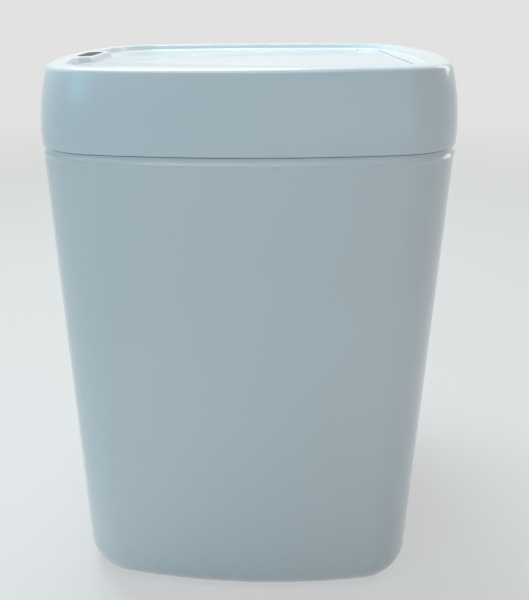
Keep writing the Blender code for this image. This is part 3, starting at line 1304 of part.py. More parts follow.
def make_battery_holder():
    """The battery bay: a box open downwards, which the door in the liner shuts."""
    low, high = (BAY_FRONT_X, BAY_LOW_Y, BAY_BOTTOM), (BAY_REAR_X, BAY_HIGH_Y, BAY_TOP)
    holder = box("battery_holder", low, high, INNER_GREY)
    wall = Vector((BAY_WALL, BAY_WALL, -CUT_OVERRUN))
    inside_high = Vector(high) - Vector((BAY_WALL, BAY_WALL, BAY_WALL))
    return cut_all(holder, [box_tool("bay_inside", Vector(low) + wall, inside_high)])


def cell_places():
    """(x, +1 or -1) for each cell: its axis's x, and the way its positive end points along Y."""
    first = (BAY_FRONT_X + BAY_REAR_X) / 2 - (CELL_COUNT - 1) / 2 * CELL_PITCH
    return [(first + number * CELL_PITCH, 1 if number % 2 else -1) for number in range(CELL_COUNT)]


def cell_z():
    return BAY_TOP - BAY_WALL - FIT_GAP - CELL_RADIUS


def make_cells():
    """Three AA cells, each a turned can with its positive nipple, head to tail as in series."""
    edge = EDGE_ROUND
    profile = [
        (0.0, CELL_LENGTH + CELL_NIPPLE_LENGTH),
        (CELL_NIPPLE_RADIUS, CELL_LENGTH + CELL_NIPPLE_LENGTH),
        (CELL_NIPPLE_RADIUS, CELL_LENGTH),
        (CELL_RADIUS - edge, CELL_LENGTH),
        (CELL_RADIUS, CELL_LENGTH - edge),
        (CELL_RADIUS, edge),
        (CELL_RADIUS - edge, 0.0),
        (0.0, 0.0),
    ]
    flat_low = BAY_LOW_Y + BAY_WALL + FIT_GAP + CONTACT_THICKNESS + FIT_GAP
    flat_high = BAY_HIGH_Y - BAY_WALL - FIT_GAP - CONTACT_THICKNESS - FIT_GAP
    for number, (x, way) in enumerate(cell_places()):
        reach = CELL_LENGTH + CELL_NIPPLE_LENGTH
        start = flat_high - reach if way > 0 else flat_low + reach
        tilt = (math.radians(-90 * way), 0.0, 0.0)
        turned(f"battery_cell_{number + 1}", profile, (x, start, cell_z()), material=CELL_JACKET, tilt=tilt)


def make_contacts():
    """Two contact plates at the bay's ends and a tapering coil spring against each cell's flat end."""
    half_width = (BAY_REAR_X - BAY_FRONT_X) / 2 - BAY_WALL - FIT_GAP
    middle = (BAY_FRONT_X + BAY_REAR_X) / 2
    low_z, high_z = cell_z() - CELL_RADIUS, cell_z() + CELL_RADIUS - FIT_GAP
    front_y = BAY_LOW_Y + BAY_WALL + FIT_GAP
    rear_y = BAY_HIGH_Y - BAY_WALL - FIT_GAP - CONTACT_THICKNESS
    for end, y in (("front", front_y), ("rear", rear_y)):
        corner_low = (middle - half_width, y, low_z)
        corner_high = (middle + half_width, y + CONTACT_THICKNESS, high_z)
        box(f"contact_plate_{end}", corner_low, corner_high, STEEL)
    for number, (x, way) in enumerate(cell_places()):
        plate = BAY_LOW_Y + BAY_WALL + 2 * FIT_GAP + CONTACT_THICKNESS + CONTACT_WIRE_RADIUS
        if way < 0:
            plate = BAY_HIGH_Y - BAY_WALL - 2 * FIT_GAP - CONTACT_THICKNESS - CONTACT_WIRE_RADIUS
        coil(f"contact_spring_{number + 1}", (x, plate, cell_z()), way)


def coil(name, start, way):
    """A conical coil spring along Y, from its wide turn at start to a narrower one at its far end."""
    steps = SPRING_TURNS * SPRING_TURN_POINTS
    share = np.linspace(0.0, 1.0, steps + 1)
    angle = 2 * np.pi * SPRING_TURNS * share
    radius = CONTACT_SPRING_RADIUS * (1 - 0.45 * share)
    length = CONTACT_SPRING_LENGTH - 2 * CONTACT_WIRE_RADIUS
    points = np.column_stack(
        [
            start[0] + radius * np.cos(angle),
            start[1] + way * length * share,
            start[2] + radius * np.sin(angle),
        ]
    )
    return tube(name, points, CONTACT_WIRE_RADIUS, STEEL, 1)


def tube(name, points, radius, material, resolution=2):
    """A round wire along a list of points, as a curve object with filled ends."""
    curve = bpy.data.curves.new(name, "CURVE")
    curve.dimensions = "3D"
    curve.bevel_depth = radius
    curve.bevel_resolution = resolution
    curve.use_fill_caps = True
    spline = curve.splines.new("POLY")
    spline.points.add(len(points) - 1)
    for point, place in zip(spline.points, points):
        point.co = (*place, 1.0)
    curve.materials.append(material)
    return link(bpy.data.objects.new(name, curve))


def smooth_route(places, count):
    """Points along a Catmull-Rom curve through hand-chosen places."""
    places = np.array(places)
    padded = np.concatenate([[2 * places[0] - places[1]], places, [2 * places[-1] - places[-2]]])
    points = []
    for share in np.linspace(0.0, len(places) - 1.0, count):
        i = min(int(share), len(places) - 2)
        t = share - i
        p0, p1, p2, p3 = padded[i : i + 4]
        points.append(
            p1
            + 0.5 * (p2 - p0) * t
            + (p0 - 2.5 * p1 + 2 * p2 - 0.5 * p3) * t**2
            + (1.5 * p1 - 0.5 * p0 - 1.5 * p2 + 0.5 * p3) * t**3
        )
    return points


def make_battery_door():
    """The bay's door, flush in the pan's floor: it turns down on a pin along its edge at low Y."""
    low, high = door_corners()
    cylinder("door_pin", *door_axis(-DOOR_EAR_WIDTH / 3), DOOR_PIN_RADIUS, SMALL_SEGMENTS, STEEL)
    door = box("battery_door", low, high, INNER_GREY)
    ends = door_axis(-DOOR_EAR_WIDTH - FIT_GAP)
    barrel = round_tool("door_barrel", *ends, DOOR_BARREL_RADIUS)
    middle = (low[0] + high[0]) / 2
    grip_low = (middle - DOOR_GRIP_LENGTH / 2, high[1] - 2 * DOOR_THICKNESS, low[2] - DOOR_GRIP_HEIGHT)
    grip_high = (middle + DOOR_GRIP_LENGTH / 2, high[1] - DOOR_THICKNESS, low[2] + DOOR_THICKNESS / 2)
    grip = box_tool("door_grip", grip_low, grip_high)
    join_all(door, [barrel, grip])
    cut_all(door, [door_pin_bore("door_bore")])
    return move_origin(door, (middle, low[1], low[2] + DOOR_AXIS_RISE))


def make_main_board():
    """The control board under the ledge, above the batteries, with its chip, capacitor and connector."""
    low = (MAIN_BOARD_FRONT_X, MAIN_BOARD_LOW_Y, LEDGE_UNDERSIDE - MAIN_BOARD_DROP)
    high = (MAIN_BOARD_REAR_X, MAIN_BOARD_HIGH_Y, LEDGE_UNDERSIDE - MAIN_BOARD_DROP + BOARD_THICKNESS)
    board = box("control_board", low, high, BOARD_GREEN)
    middle_x = (MAIN_BOARD_FRONT_X + MAIN_BOARD_REAR_X) / 2
    quarter = (MAIN_BOARD_HIGH_Y - MAIN_BOARD_LOW_Y) / 4
    chip_half = Vector((quarter / 4, quarter / 3, BOARD_THICKNESS))
    chip_middle = Vector((middle_x, MAIN_BOARD_LOW_Y + quarter, low[2]))
    chip = box_tool("chip", chip_middle - chip_half, chip_middle + chip_half)
    can_middle = (middle_x, MAIN_BOARD_LOW_Y + 2 * quarter, low[2] + BOARD_THICKNESS / 2)
    can_low = (can_middle[0], can_middle[1], low[2] - 2 * BOARD_THICKNESS)
    can = round_tool("capacitor", can_low, can_middle, 2 * BOARD_THICKNESS)
    plug_half = Vector((quarter / 6, quarter / 4, 2 * BOARD_THICKNESS))
    plug_middle = Vector((middle_x, MAIN_BOARD_LOW_Y + 3 * quarter, low[2]))
    plug_low, plug_high = plug_middle - plug_half, plug_middle + plug_half
    plug_high.z -= 1.5 * BOARD_THICKNESS
    plug = box_tool("connector", plug_low, plug_high)
    join_all(board, [chip, can, plug])
    holes = []
    for number, (x, y) in enumerate(board_post_places()):
        ends = [(x, y, low[2] - CUT_OVERRUN), (x, y, high[2] + CUT_OVERRUN)]
        holes.append(round_tool(f"board_hole_{number + 1}", *ends, POST_BORE_RADIUS))
    return cut_all(board, holes)


def make_sensor():
    """The dark window in the rim, its board below, the infrared pair and the indicator."""
    flange = stadium(WINDOW_HALF_LENGTH + WINDOW_FLANGE, WINDOW_HALF_WIDTH + WINDOW_FLANGE)
    lens = stadium(WINDOW_HALF_LENGTH, WINDOW_HALF_WIDTH)
    lens_low, lens_high = RIM_UNDERSIDE - HEAD_WALL / 2, BIN_HEIGHT + WINDOW_PROUD
    place = Matrix.Translation((WINDOW_X, 0.0, (lens_low + lens_high) / 2))
    window = flat_piece("sensor_window", [lens], lens_high - lens_low, place, BLACK_WINDOW)
    flange_high = RIM_UNDERSIDE - FIT_GAP
    flange_low = flange_high - HEAD_WALL / 2
    place = Matrix.Translation((WINDOW_X, 0.0, (flange_low + flange_high) / 2))
    rim = flat_tool("window_flange", [flange], flange_high - flange_low, place)
    join_all(window, [rim])
    board_low = RIM_UNDERSIDE - SENSOR_BOARD_DROP
    board_top = board_low + BOARD_THICKNESS
    low = (SENSOR_BOARD_X - SENSOR_BOARD_HALF_X, -SENSOR_BOARD_HALF_Y, board_low)
    high = (SENSOR_BOARD_X + SENSOR_BOARD_HALF_X, SENSOR_BOARD_HALF_Y, board_top)
    box("sensor_board", low, high, BOARD_GREEN)
    led_base = board_top + FIT_GAP
    led_top = flange_low - FIT_GAP
    for name, y in zip(("ir_emitter", "ir_receiver"), mirrored_y(LED_SPACING)):
        height = led_top - led_base
        dome = np.radians((30.0, 60.0, 90.0))
        profile = [(0.0, height)]
        profile += [(LED_RADIUS * math.sin(a), height - LED_RADIUS * (1 - math.cos(a))) for a in dome]
        profile += [(LED_RADIUS, EDGE_ROUND), (LED_RADIUS + EDGE_ROUND / 2, EDGE_ROUND)]
        profile += [(LED_RADIUS + EDGE_ROUND / 2, 0.0), (0.0, 0.0)]
        turned(name, profile, (WINDOW_X, y, led_base), SMALL_SEGMENTS, LENS_CLEAR)
    low, high = (WINDOW_X, 0.0, led_base), (WINDOW_X, 0.0, led_base + 2 * INDICATOR_RADIUS)
    cylinder("indicator_led", low, high, INDICATOR_RADIUS, SMALL_SEGMENTS, LENS_CLEAR)


def make_switch():
    """The power switch: a body on the pan's floor and a knob that slides in a slot."""
    body_low = (SWITCH_X - SWITCH_HALF_X, SWITCH_Y - SWITCH_HALF_Y, PAN_FLOOR_TOP + FIT_GAP)
    body_rear_x = SWITCH_X + SWITCH_HALF_X + SWITCH_TRAVEL
    body_high = (body_rear_x, SWITCH_Y + SWITCH_HALF_Y, PAN_FLOOR_TOP + SWITCH_HEIGHT)
    body = box("switch_body", body_low, body_high, STEEL)
    knob_half = Vector((SWITCH_KNOB_LENGTH / 2, SWITCH_KNOB_WIDTH / 2, 0.0))
    gap = Vector((FIT_GAP, FIT_GAP, 0.0))
    middle = Vector((SWITCH_X, SWITCH_Y, PAN_FLOOR_HEIGHT + FIT_GAP))
    knob_top = Vector((0.0, 0.0, PAN_WALL + SWITCH_HEIGHT / 2))
    travel = Vector((SWITCH_TRAVEL, 0.0, 0.0))
    deeper = Vector((0.0, 0.0, 2 * FIT_GAP))
    slot_high = middle + knob_half + gap + knob_top + travel + deeper
    slot = box_tool("switch_slot", middle - knob_half - gap, slot_high)
    cut_all(body, [slot])
    knob = box("power_switch_knob", middle - knob_half, middle + knob_half + knob_top, BLACK_WINDOW)
    return move_origin(knob, middle)


def make_leads():
    """Two runs of wire in the head: round the side to the sensor, and behind the gearbox to the motor."""
    board_z = LEDGE_UNDERSIDE - MAIN_BOARD_DROP + BOARD_THICKNESS / 2
    sensor_z = RIM_UNDERSIDE - SENSOR_BOARD_DROP + BOARD_THICKNESS / 2
    clear = LEAD_RADIUS + FIT_GAP
    board_x = (MAIN_BOARD_FRONT_X + MAIN_BOARD_REAR_X) / 2
    level = sensor_z + LEAD_CLEAR / 2
    low_start = (board_x, MAIN_BOARD_LOW_Y - clear, board_z)
    finish = (SENSOR_BOARD_X, -SENSOR_BOARD_HALF_Y - clear, sensor_z)
    turns = ((0.069, -0.091), (0.062, -0.109))
    along = ((0.050, -0.1190), (0.0, -0.1220), (-0.050, -0.1190), (-0.072, -0.1160), (-0.0862, -0.1128))
    along += ((-0.1008, -0.1035), (-0.1101, -0.0889), (-0.1140, -0.070), (-0.1155, -0.052))
    places = [low_start] + [(x, y, board_z - FIT_GAP) for x, y in turns]
    places += [(x, y, level) for x, y in along] + [finish]
    tube("sensor_lead", smooth_route(places, 32), LEAD_RADIUS, WIRE_BLACK)
    motor_end = motor_y_low() + MOTOR_LENGTH + clear
    places = [
        (MOTOR_X, motor_end, MOTOR_Z),
        (0.084, 0.064, MOTOR_Z),
        (0.104, 0.060, MOTOR_Z),
        (0.1150, 0.038, MOTOR_Z + LEAD_CLEAR),
        (0.1165, 0.010, board_z - LEAD_CLEAR),
        (0.1140, -0.008, board_z),
        (MAIN_BOARD_REAR_X + clear, -0.012, board_z),
    ]
    tube("motor_lead", smooth_route(places, 20), LEAD_RADIUS, WIRE_BLACK)


def empty_at(name, place):
    holder = bpy.data.objects.new(name, None)
    holder.location = place
    holder.empty_display_size = BASE_FILLET
    return link(holder)


def carry(parent, objects):
    """Parents objects to one that moves them, leaving them where they are."""
    bpy.context.view_layer.update()
    for obj in objects:
        obj.parent = parent
        obj.matrix_parent_inverse = parent.matrix_world.inverted()


def named(prefixes, wanted=True):
    """The pieces whose names start with one of the prefixes, or with wanted false the ones whose don't."""
    pieces = [obj for obj in PARTS.objects if obj.type != "EMPTY"]
    return [obj for obj in pieces if obj.name.startswith(prefixes) == wanted]


def hang_on_joints():
    """Parents the flap's pieces to its hinge line and the head's pieces to the head's seat on the neck."""
    seat = empty_at("seat_of_head", (0.0, 0.0, HEAD_BOTTOM))
    hinge_line = empty_at("hinge_line", (HINGE_X, 0.0, HINGE_Z))
    on_flap = ("flap_", "sector_gear")
    on_floor = ("bin_body", "foot_", "bag_ring")
    carry(hinge_line, named(on_flap))
    carry(seat, named(on_flap + on_floor, wanted=False) + [hinge_line])


def make_sensor_bin():
    make_body()
    make_feet()
    make_bag_ring()
    make_head_shell()
    make_liner()
    make_screws()
    make_flap_outer()
    make_flap_inner()
    make_buffers()
    make_hinge_rod()
    make_sector_gear()
    make_output_gear()
    make_idler_gear()
    make_idler_pin()
    make_motor_pinion()
    make_motor_shaft()
    make_motor()
    make_gear_case()
    make_gear_cover()
    make_battery_holder()
    make_cells()
    make_contacts()
    make_battery_door()
    make_main_board()
    make_sensor()
    make_switch()
    make_leads()
    hang_on_joints()


make_sensor_bin()
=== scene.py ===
"""Sensor bin, dressed: smooth moulded shells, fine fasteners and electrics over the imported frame.

Lengths are in metres, +Z is up, and the bin stands on the floor at the origin. The sensor window is at
-X, the flap's hinge runs along Y near the +X end, and the camera looks at the side that faces -Y.
"""

import math

import bmesh
import bpy
import numpy as np
from mathutils import Matrix, Vector


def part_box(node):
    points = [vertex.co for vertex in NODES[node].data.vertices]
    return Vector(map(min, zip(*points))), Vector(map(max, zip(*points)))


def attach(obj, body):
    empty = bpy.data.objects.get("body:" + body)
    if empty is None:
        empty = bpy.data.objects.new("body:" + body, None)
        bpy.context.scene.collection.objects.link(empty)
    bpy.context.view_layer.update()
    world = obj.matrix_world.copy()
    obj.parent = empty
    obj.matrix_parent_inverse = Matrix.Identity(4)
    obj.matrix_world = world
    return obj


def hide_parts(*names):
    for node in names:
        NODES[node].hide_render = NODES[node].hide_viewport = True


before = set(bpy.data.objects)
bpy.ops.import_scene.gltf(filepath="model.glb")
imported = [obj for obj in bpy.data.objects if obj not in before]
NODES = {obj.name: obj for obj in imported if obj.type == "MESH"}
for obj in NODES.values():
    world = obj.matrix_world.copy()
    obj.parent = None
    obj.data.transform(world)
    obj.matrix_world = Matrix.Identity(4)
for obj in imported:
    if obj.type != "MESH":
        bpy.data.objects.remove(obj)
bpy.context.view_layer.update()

# The bin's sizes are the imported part's, but for a finer ridge under the seam. Heights are above the floor.
# The whole, and the curves of its plan
HEIGHT = 0.345
WIDEST_HALF_X = 0.1301
WIDEST_HALF_Y = 0.1339
FACE_BOW = 0.432
SIDE_BOW = 0.459

# The body: base, shoulder, walls, the ridge under the seam, neck and collar
BASE_HALF_X = 0.1160
BASE_CORNER = 0.036
BASE_FILLET = 0.0196
BASE_LIFT = 0.0012
SHOULDER_HALF_X = 0.1294
SHOULDER_Z = 0.2945
SHOULDER_CORNER = 0.0456
BODY_WALL = 0.0024
BEAD_PROUD = 0.0006
BEAD_HEIGHT = 0.0026
BEAD_ROUND = 0.0002
RIDGE_RISE = 0.0019
RIDGE_SLOPE = 0.0031
SEAM_DROP = 0.0003
NECK_INSET = 0.0010
NECK_Z = 0.2985
COLLAR_INSET = 0.0026
COLLAR_Z = 0.3030
INNER_FLOOR_SHARE = 0.93
HOLLOW_SHARES = (0.80, 0.805, 0.97)
HOLLOW_DEPTH = 0.0006

# The head: its outside, and its edges
HEAD_LOW = 0.2988
HEAD_LOW_HALF_X = 0.1298
WIDEST_Z = 0.3073
TOP_HALF_X = 0.1244
TOP_CORNER = 0.043
TOP_ROUND = 0.0026
HEAD_WALL = 0.0024
EDGE = 0.0007
LOW_EDGE_TURNS = (1.57, 1.05, 0.52, 0.0)

# The recess for the flap, the well under it, and the hinge's axis and barrel
RECESS_HALF_X = 0.1120
RECESS_HALF_Y = 0.1135
RECESS_CORNER = 0.037
RECESS_FILLET = 0.0008
RECESS_SLOPE = 0.0010
FLOOR_Z = 0.3414
WELL_INSET = 0.0003
HINGE_X = 0.0955
HINGE_Z = 0.3364
BARREL = 0.0064
BARREL_GAP = 0.0005
BARREL_LOW_SHARE = 0.98

# Gaps round what moves and what is fitted, how far cutters reach past a face, and how deep joins sink in
RUN_GAP = 0.0008
FIT_GAP = 0.0003
CUT_PAST = 0.002
SINK = 0.0002

# The flap and its wings
WING_STEP = 0.0095
WING_Y = 0.084
WING_DRIFT = 0.0010
DRIFT_TOP_SHARE = 0.8
FLAP_LOW = 0.3298
FLAP_WALL = 0.0018

# The ledge round the throat, the throat, and the rim's reach for the sensor
LEDGE_Z = 0.3294
LEDGE_WALL = 0.0020
THROAT_FRONT = -0.092
THROAT_REAR = 0.059
THROAT_HALF_Y = 0.100
THROAT_CORNER = 0.028
THROAT_LOW = 0.2904
THROAT_ROUND = 0.0012
POD_REACH = 0.012
POD_FLAT = 0.024
POD_HALF = 0.044

# The window and its slot
WINDOW_X = -0.1098
WINDOW_HALF_LENGTH = 0.0220
WINDOW_HALF_WIDTH = 0.0050
WINDOW_SLOT_DEPTH = 0.0055
WINDOW_SLOT_OVER = 0.003

# The sector gear, the lugs, the rod and the knuckles of the hinge
SECTOR_Y = 0.0031
SECTOR_WIDTH = 0.0050
SECTOR_MODULE = 0.0010
SECTOR_OPENING = 0.0178
LUG_Y = 0.070
LUG_WIDTH = 0.0050
LUG_RADIUS = 0.0028
LUG_LEG_WIDTH = 0.0038
LUG_LEG_CLEAR = 0.0004
LUG_FOOT = 0.0080
ROD_RADIUS = 0.00125
ROD_GAP = 0.00015
KNUCKLE_Y = 0.0637
KNUCKLE_WIDTH = 0.0060
KNUCKLE_LENGTH = 0.0100

# Posts and the places of screws and buffers
POST_RADIUS = 0.0036
POST_BORE = 0.0015
BORE_DEPTH_SHARE = 0.8
BORE_POLE_SHARE = 0.02
POST_LOW = 0.3075
POST_TOP = 0.3284
SMALL_POST = 0.0026
FLAP_SCREWS = [(x, y) for x in (-0.072, 0.039) for y in (-0.080, 0.080)]
HEAD_SCREWS = [(x, y) for x in (-0.092, 0.078) for y in (-0.092, 0.092)]
HEAD_SCREWS += [(-0.020, y) for y in (-0.1075, 0.1075)]
BUFFER_PLACES = [(-0.0945, -0.060), (-0.0945, 0.060)]

# How much of its packed radius a finer piece takes: screws, feet and cells, the rod, and pins and lamps
SCREW_SHARE = 0.985
PAD_SHARE = 0.995
ROD_SHARE = 0.97
PIN_SHARE = 0.98

# Screws. CORE_SHARE to NECK_SHARE are of the shank's radius, RIM_SHARE, CROWN_SHARE and CROSS_DEPTH_SHARE
# of the head's height, and the other shares of the head's radius.
SCREW_HEAD_HEIGHT = 0.0016
SCREW_RADIUS = 0.0012
THREAD_PITCH = 0.0011
THREAD_START = 0.0004
RINGS_PER_TURN = 7
CORE_SHARE = 0.70
THREAD_SHARE = 0.28
TIP_LENGTH = 0.0016
TIP_SHARE = 0.12
NECK_SHARE = 0.75
HEAD_EDGE = 0.0002
RIM_SHARE = 0.35
CROWN_SHARE = 0.65
ARM_SHARE = 0.13
CROSS_SHARE = 0.53
CROSS_DEPTH_SHARE = 0.62
CROSS_END_SHARE = 0.56
CROSS_STEEPNESS = 9
DOME_SHARES = (1.0, 0.97, 0.90, 0.80, 0.68, 0.56, 0.50, 0.44, 0.38, 0.30, 0.22, 0.14, 0.05)

# Boards, posts and ribs in the head and the flap. Profiles are pairs of radius and height, and legs are
# pairs of reach and rise from the board.
BOARD_X = 0.086
BOARD_TOP = 0.3256
BOARD_POST_YS = (-0.0668, -0.0082)
SENSOR_X = -0.1117
SENSOR_TOP = 0.3327
SENSOR_POST_Y = 0.0278
RIM_RIB_LOW = 0.3372
RIM_RIB_SINK = 0.0004
FLAP_RIB_LOW = 0.3374
RIB_OVERLAP = 0.0006
RIB_THICK = 0.0010
FLAP_RIB_THICK = 0.0009
WEB_OVERLAP = 0.0003
WEB_DEPTH = 0.0008
WEB_REACH = 0.0024
WEB_RISE = 0.009
WEB_LIP = 0.0006
SMALL_DRAFT = 0.0002
SENSOR_BORE = 0.0008
FLAP_BOSS_LIFT = 0.0019
HINGE_BORE_REACH = 0.08
BOARD_THICKNESS = 0.0016
SHEET_EDGE = 0.00015
PASSIVE_LENGTH = 0.0011
PASSIVE_WIDTH = 0.0008
PASSIVE_HEIGHT = 0.00045
PASSIVE_END = 0.0003
PASSIVE_END_HEIGHT = 0.00047
PASSIVE_END_REACH = 0.0007
MIDDLE_CLEAR = 0.0046
MIDDLE_HALF = 0.007
CHIP_CLEAR = 0.0028
CHIP_HALF = (0.0030, 0.0052)
CHIP_DEPTH = 0.0016
CHIP_GAP = 0.0002
LEG_REACH = 0.0045
PLUG_LEG_REACH = 0.0028
LEG_RADIUS = 0.00014
PLUG_LEG_RADIUS = 0.0002
PASSIVE_XS = (-0.0090, -0.0062, 0.0064, 0.0092)
PASSIVE_SPAN = (-0.028, 0.026)
PASSIVE_SHIFT = 0.0006
PLUG_HALF = (0.0029, 0.0043)
PLUG_LOW = 0.3208
PLUG_WALL = 0.0007
KNOB_RIDGE_HALF = 0.00022
CHIP_LEG = ((0.0029, -0.0009), (0.0036, -0.0009), (0.0038, -0.0003), (0.0044, -0.0001))
PLUG_LEG = ((-0.0045, -0.0001), (-0.003, -0.0001), (-0.0026, -0.0004))
CAN_PROFILE = (
    (0.0034, 0.0), (0.0034, 0.0004), (0.0032, 0.0005), (0.0032, 0.0008), (0.00305, 0.0010),
    (0.0032, 0.0012), (0.0032, 0.0029), (0.0030, 0.0031), (0.0026, 0.0032), (0.0003, 0.00315),
)
LAMP_RADIUS = 0.0025
LAMP_FOOT = (
    (0.0004, 0.0001), (0.0026, 0.0001), (0.00283, 0.0002), (0.00283, 0.0008), (0.0026, 0.0010),
    (LAMP_RADIUS, 0.0011),
)

# Small parts on the boards, from each board's middle: x and y, and a chip's length
BOARD_CHIPS = (
    (-0.0085, -0.014, 0.0016), (-0.0085, 0.004, 0.0030), (0.0080, -0.009, 0.0020),
    (0.0080, 0.013, 0.0016),
)
SENSOR_PASSIVES = (
    (-0.0025, -0.0205), (-0.0025, -0.0175), (-0.0030, -0.0055), (-0.0030, 0.0045),
    (-0.0030, 0.0075), (0.0022, 0.0195),
)

# The flap's tray: its floor, its rim and the sunk field under it
TRAY_FLOOR = 0.0016
TRAY_RIM = 0.0040
FIELD_SHARE = 0.82
FIELD_DEPTH = 0.0005
TRAY_PAD = ((0.0002, 0.0), (0.0046, 0.0), (0.0052, 0.0006), (0.0052, 0.0012))
SECTOR_SEAT = 0.0143
SECTOR_SEAT_TOP = 0.340
BUFFER_SOCKET = 0.0033
BUFFER_SOCKET_DEPTH = 0.0008
BUFFER_LOW = 0.32950
BUFFER_TOP = 0.33022
BUFFER_RADIUS = 0.0030
BUFFER_FACE = ((0.0003, 0.0002), (0.0015, 0.0001), (0.0022, 0.0), (0.0026, 0.00005), (0.0030, 0.0004))

# The head's liner, its pan, the battery door's two corners and hinge, and the switch
PAN_FRONT_X = 0.0616
PAN_REAR_X = 0.1206
PAN_HALF_Y = 0.080
PAN_BOW = 0.450
PAN_LOW = 0.2975
PAN_FLOOR_TOP = 0.2993
LINER_LOW = 0.3054
LINER_HIGH = 0.3072
DOOR_LOW = (0.0668, -0.0625, 0.2975)
DOOR_HIGH = (0.1104, -0.0040, 0.2991)
DOOR_AXIS_Z = 0.2979
DOOR_BARREL = 0.0013
SWITCH_MIDDLE = (0.090, 0.070)
DOOR_PIN_BORE = 0.00065
PAN_WALL = 0.0018
PAN_RIB_HEIGHT = 0.0018
EAR_RADIUS = 0.0015
EAR_LENGTH = 0.0030
LINER_BORE = 0.0037
GRIP_HALF = 0.007
GRIP_THICK = 0.0004
GRIP_LOW = 0.2966
GRIP_HIGH = 0.2980
LINER_BOSS = (
    (0.0038, LINER_LOW + 0.0004), (0.0038, 0.3048), (0.0040, 0.3046), (0.0046, 0.3046),
    (0.0048, 0.3048), (0.0049, LINER_LOW + 0.0004),
)
DOOR_UNDERSIDE = ((0.012, 0.0004), (0.0036, 0.0004), (0.0031, 0.0003), (0.0028, 0.0001), (0.0025, 0.0))
DOOR_TOPSIDE = ((0.0, 0.0003), (0.0003, 0.0), (0.004, 0.0), (0.0044, 0.0003), (0.012, 0.0003))
SWITCH_SLOT_LOW = (-0.0021, -0.0018)
SWITCH_SLOT_HIGH = (0.0051, 0.0018)

# The gearbox and the motor. Rings are pairs of inset and height, and other tables are radius and height.
COVER_SCREWS = [(0.0688, 0.3024), (0.1077, 0.3024), (0.1077, 0.3243)]
OUTPUT_X = 0.09704
IDLER_X = 0.08312
MOTOR_X = 0.0725
GEAR_Z = 0.31433
SHAFT_RADIUS = 0.0020
PIN_RADIUS = 0.0010
MOTOR_BOSS = 0.0031
CASE_WALL = 0.0014
CASE_CORNER = 0.0016
CASE_EDGE = 0.0004
CASE_BOSS = 0.0026
CASE_BOSS_START = 0.0009
CASE_BOSS_GAP = 0.0012
CASE_BORE_DEPTH = 0.0080
BORE_REACH = 0.006
BEARING_RING = ((0.0033, 0.0), (0.0031, 0.0016))
COVER_RING = (
    (0.0042, -0.0004), (0.0042, 0.0004), (0.0039, 0.0007), (0.0030, 0.0007), (0.0028, 0.0004),
    (0.0028, -0.0004),
)
BOSS_HEIGHT = 0.0016
CAN_RADIUS = 0.01
CAN_FLAT = 0.0075
ROUND_SHARE = 0.2
FLAT_SHARE = 0.8
CAN_RINGS = (
    (0.0060, 0.0), (0.0014, 0.0), (0.0008, 0.00015), (0.0003, 0.0005), (0.0, 0.0010), (0.0, 0.0180),
    (0.00025, 0.0184), (0.00025, 0.0190), (0.0, 0.0194), (0.0, 0.0216), (0.0005, 0.0220),
    (0.0030, 0.0220),
)
CAP_RADIUS = 0.0098
CAP_FLAT = 0.0074
CAP_RINGS = ((0.0012, 0.0214), (0.0012, 0.0228), (0.0016, 0.0232), (0.0050, 0.0232))
CAP_HUB = ((0.0026, 0.0), (0.0026, 0.0012), (0.0022, 0.0016), (0.0003, 0.0016))
CAP_FACE = 0.0230
GUARD_OFFSET = 0.0056
TAG_OFFSET = 0.0040

# The feet's soles as shares of the radius and heights, the rod's ends and the cells' crimps as depths and
# heights, and the cells' ends and their contacts' dimples as radii and heights
SOLE_RINGS = ((0.30, 0.0006), (0.34, 0.0), (0.56, 0.0), (0.59, 0.0005), (0.66, 0.0005), (0.69, 0.0))
ROD_END = ((0.0004, 0.0), (0.0, 0.0004), (0.0, 0.0016), (0.00025, 0.0017), (0.00025, 0.0023), (0.0, 0.0024))
SPRING_SIDE_Y = -0.03
CELL_XS = (0.07385, 0.0886, 0.10335)
CELL_Z = 0.3073
CELL_CRIMP = ((0.0, 0.0030), (0.00018, 0.0026), (0.00018, 0.0020), (0.0, 0.0016))
CELL_CAP = ((0.0052, 0.0006), (0.0052, 0.0003), (0.0032, 0.00025), (0.0027, 0.0))
CELL_BASE = ((0.0003, 0.0001), (0.0050, 0.0001), (0.0056, 0.0004), (0.0056, 0.0006))
DIMPLE_PROFILE = ((0.0022, 0.0), (0.0020, 0.00010), (0.0012, 0.00018), (0.0003, 0.00020))

# The bag ring
NOTCH_HALF = 0.017
NOTCH_RISE = 0.006
HOOP_LOW = 0.2893
FLANGE_LOW = 0.3033
FLANGE_HIGH = 0.3051
FLANGE_INSET = 0.0033
SKIRT_OUT = 0.0053
SKIRT_IN = 0.0071

# The two leads' routes and their twisted strands
SENSOR_LEAD = (
    (0.086, -0.0734, 0.3248), (0.069, -0.091, 0.3245), (0.062, -0.109, 0.3245),
    (0.050, -0.1190, 0.3337), (0.0, -0.1220, 0.3337), (-0.050, -0.1190, 0.3337),
    (-0.072, -0.1160, 0.3337), (-0.0862, -0.1128, 0.3337), (-0.1008, -0.1035, 0.3337),
    (-0.1101, -0.0889, 0.3337), (-0.1140, -0.070, 0.3337), (-0.1155, -0.052, 0.3337),
    (-0.1117, -0.0344, 0.3319),
)
MOTOR_LEAD = (
    (0.0725, 0.0547, 0.3143), (0.084, 0.064, 0.3143), (0.104, 0.060, 0.3143),
    (0.1150, 0.038, 0.3179), (0.1165, 0.010, 0.3212), (0.1140, -0.008, 0.3248),
    (0.0994, -0.012, 0.3248),
)
STRAND_RADIUS = 0.00052
STRAND_PITCH = 0.0085

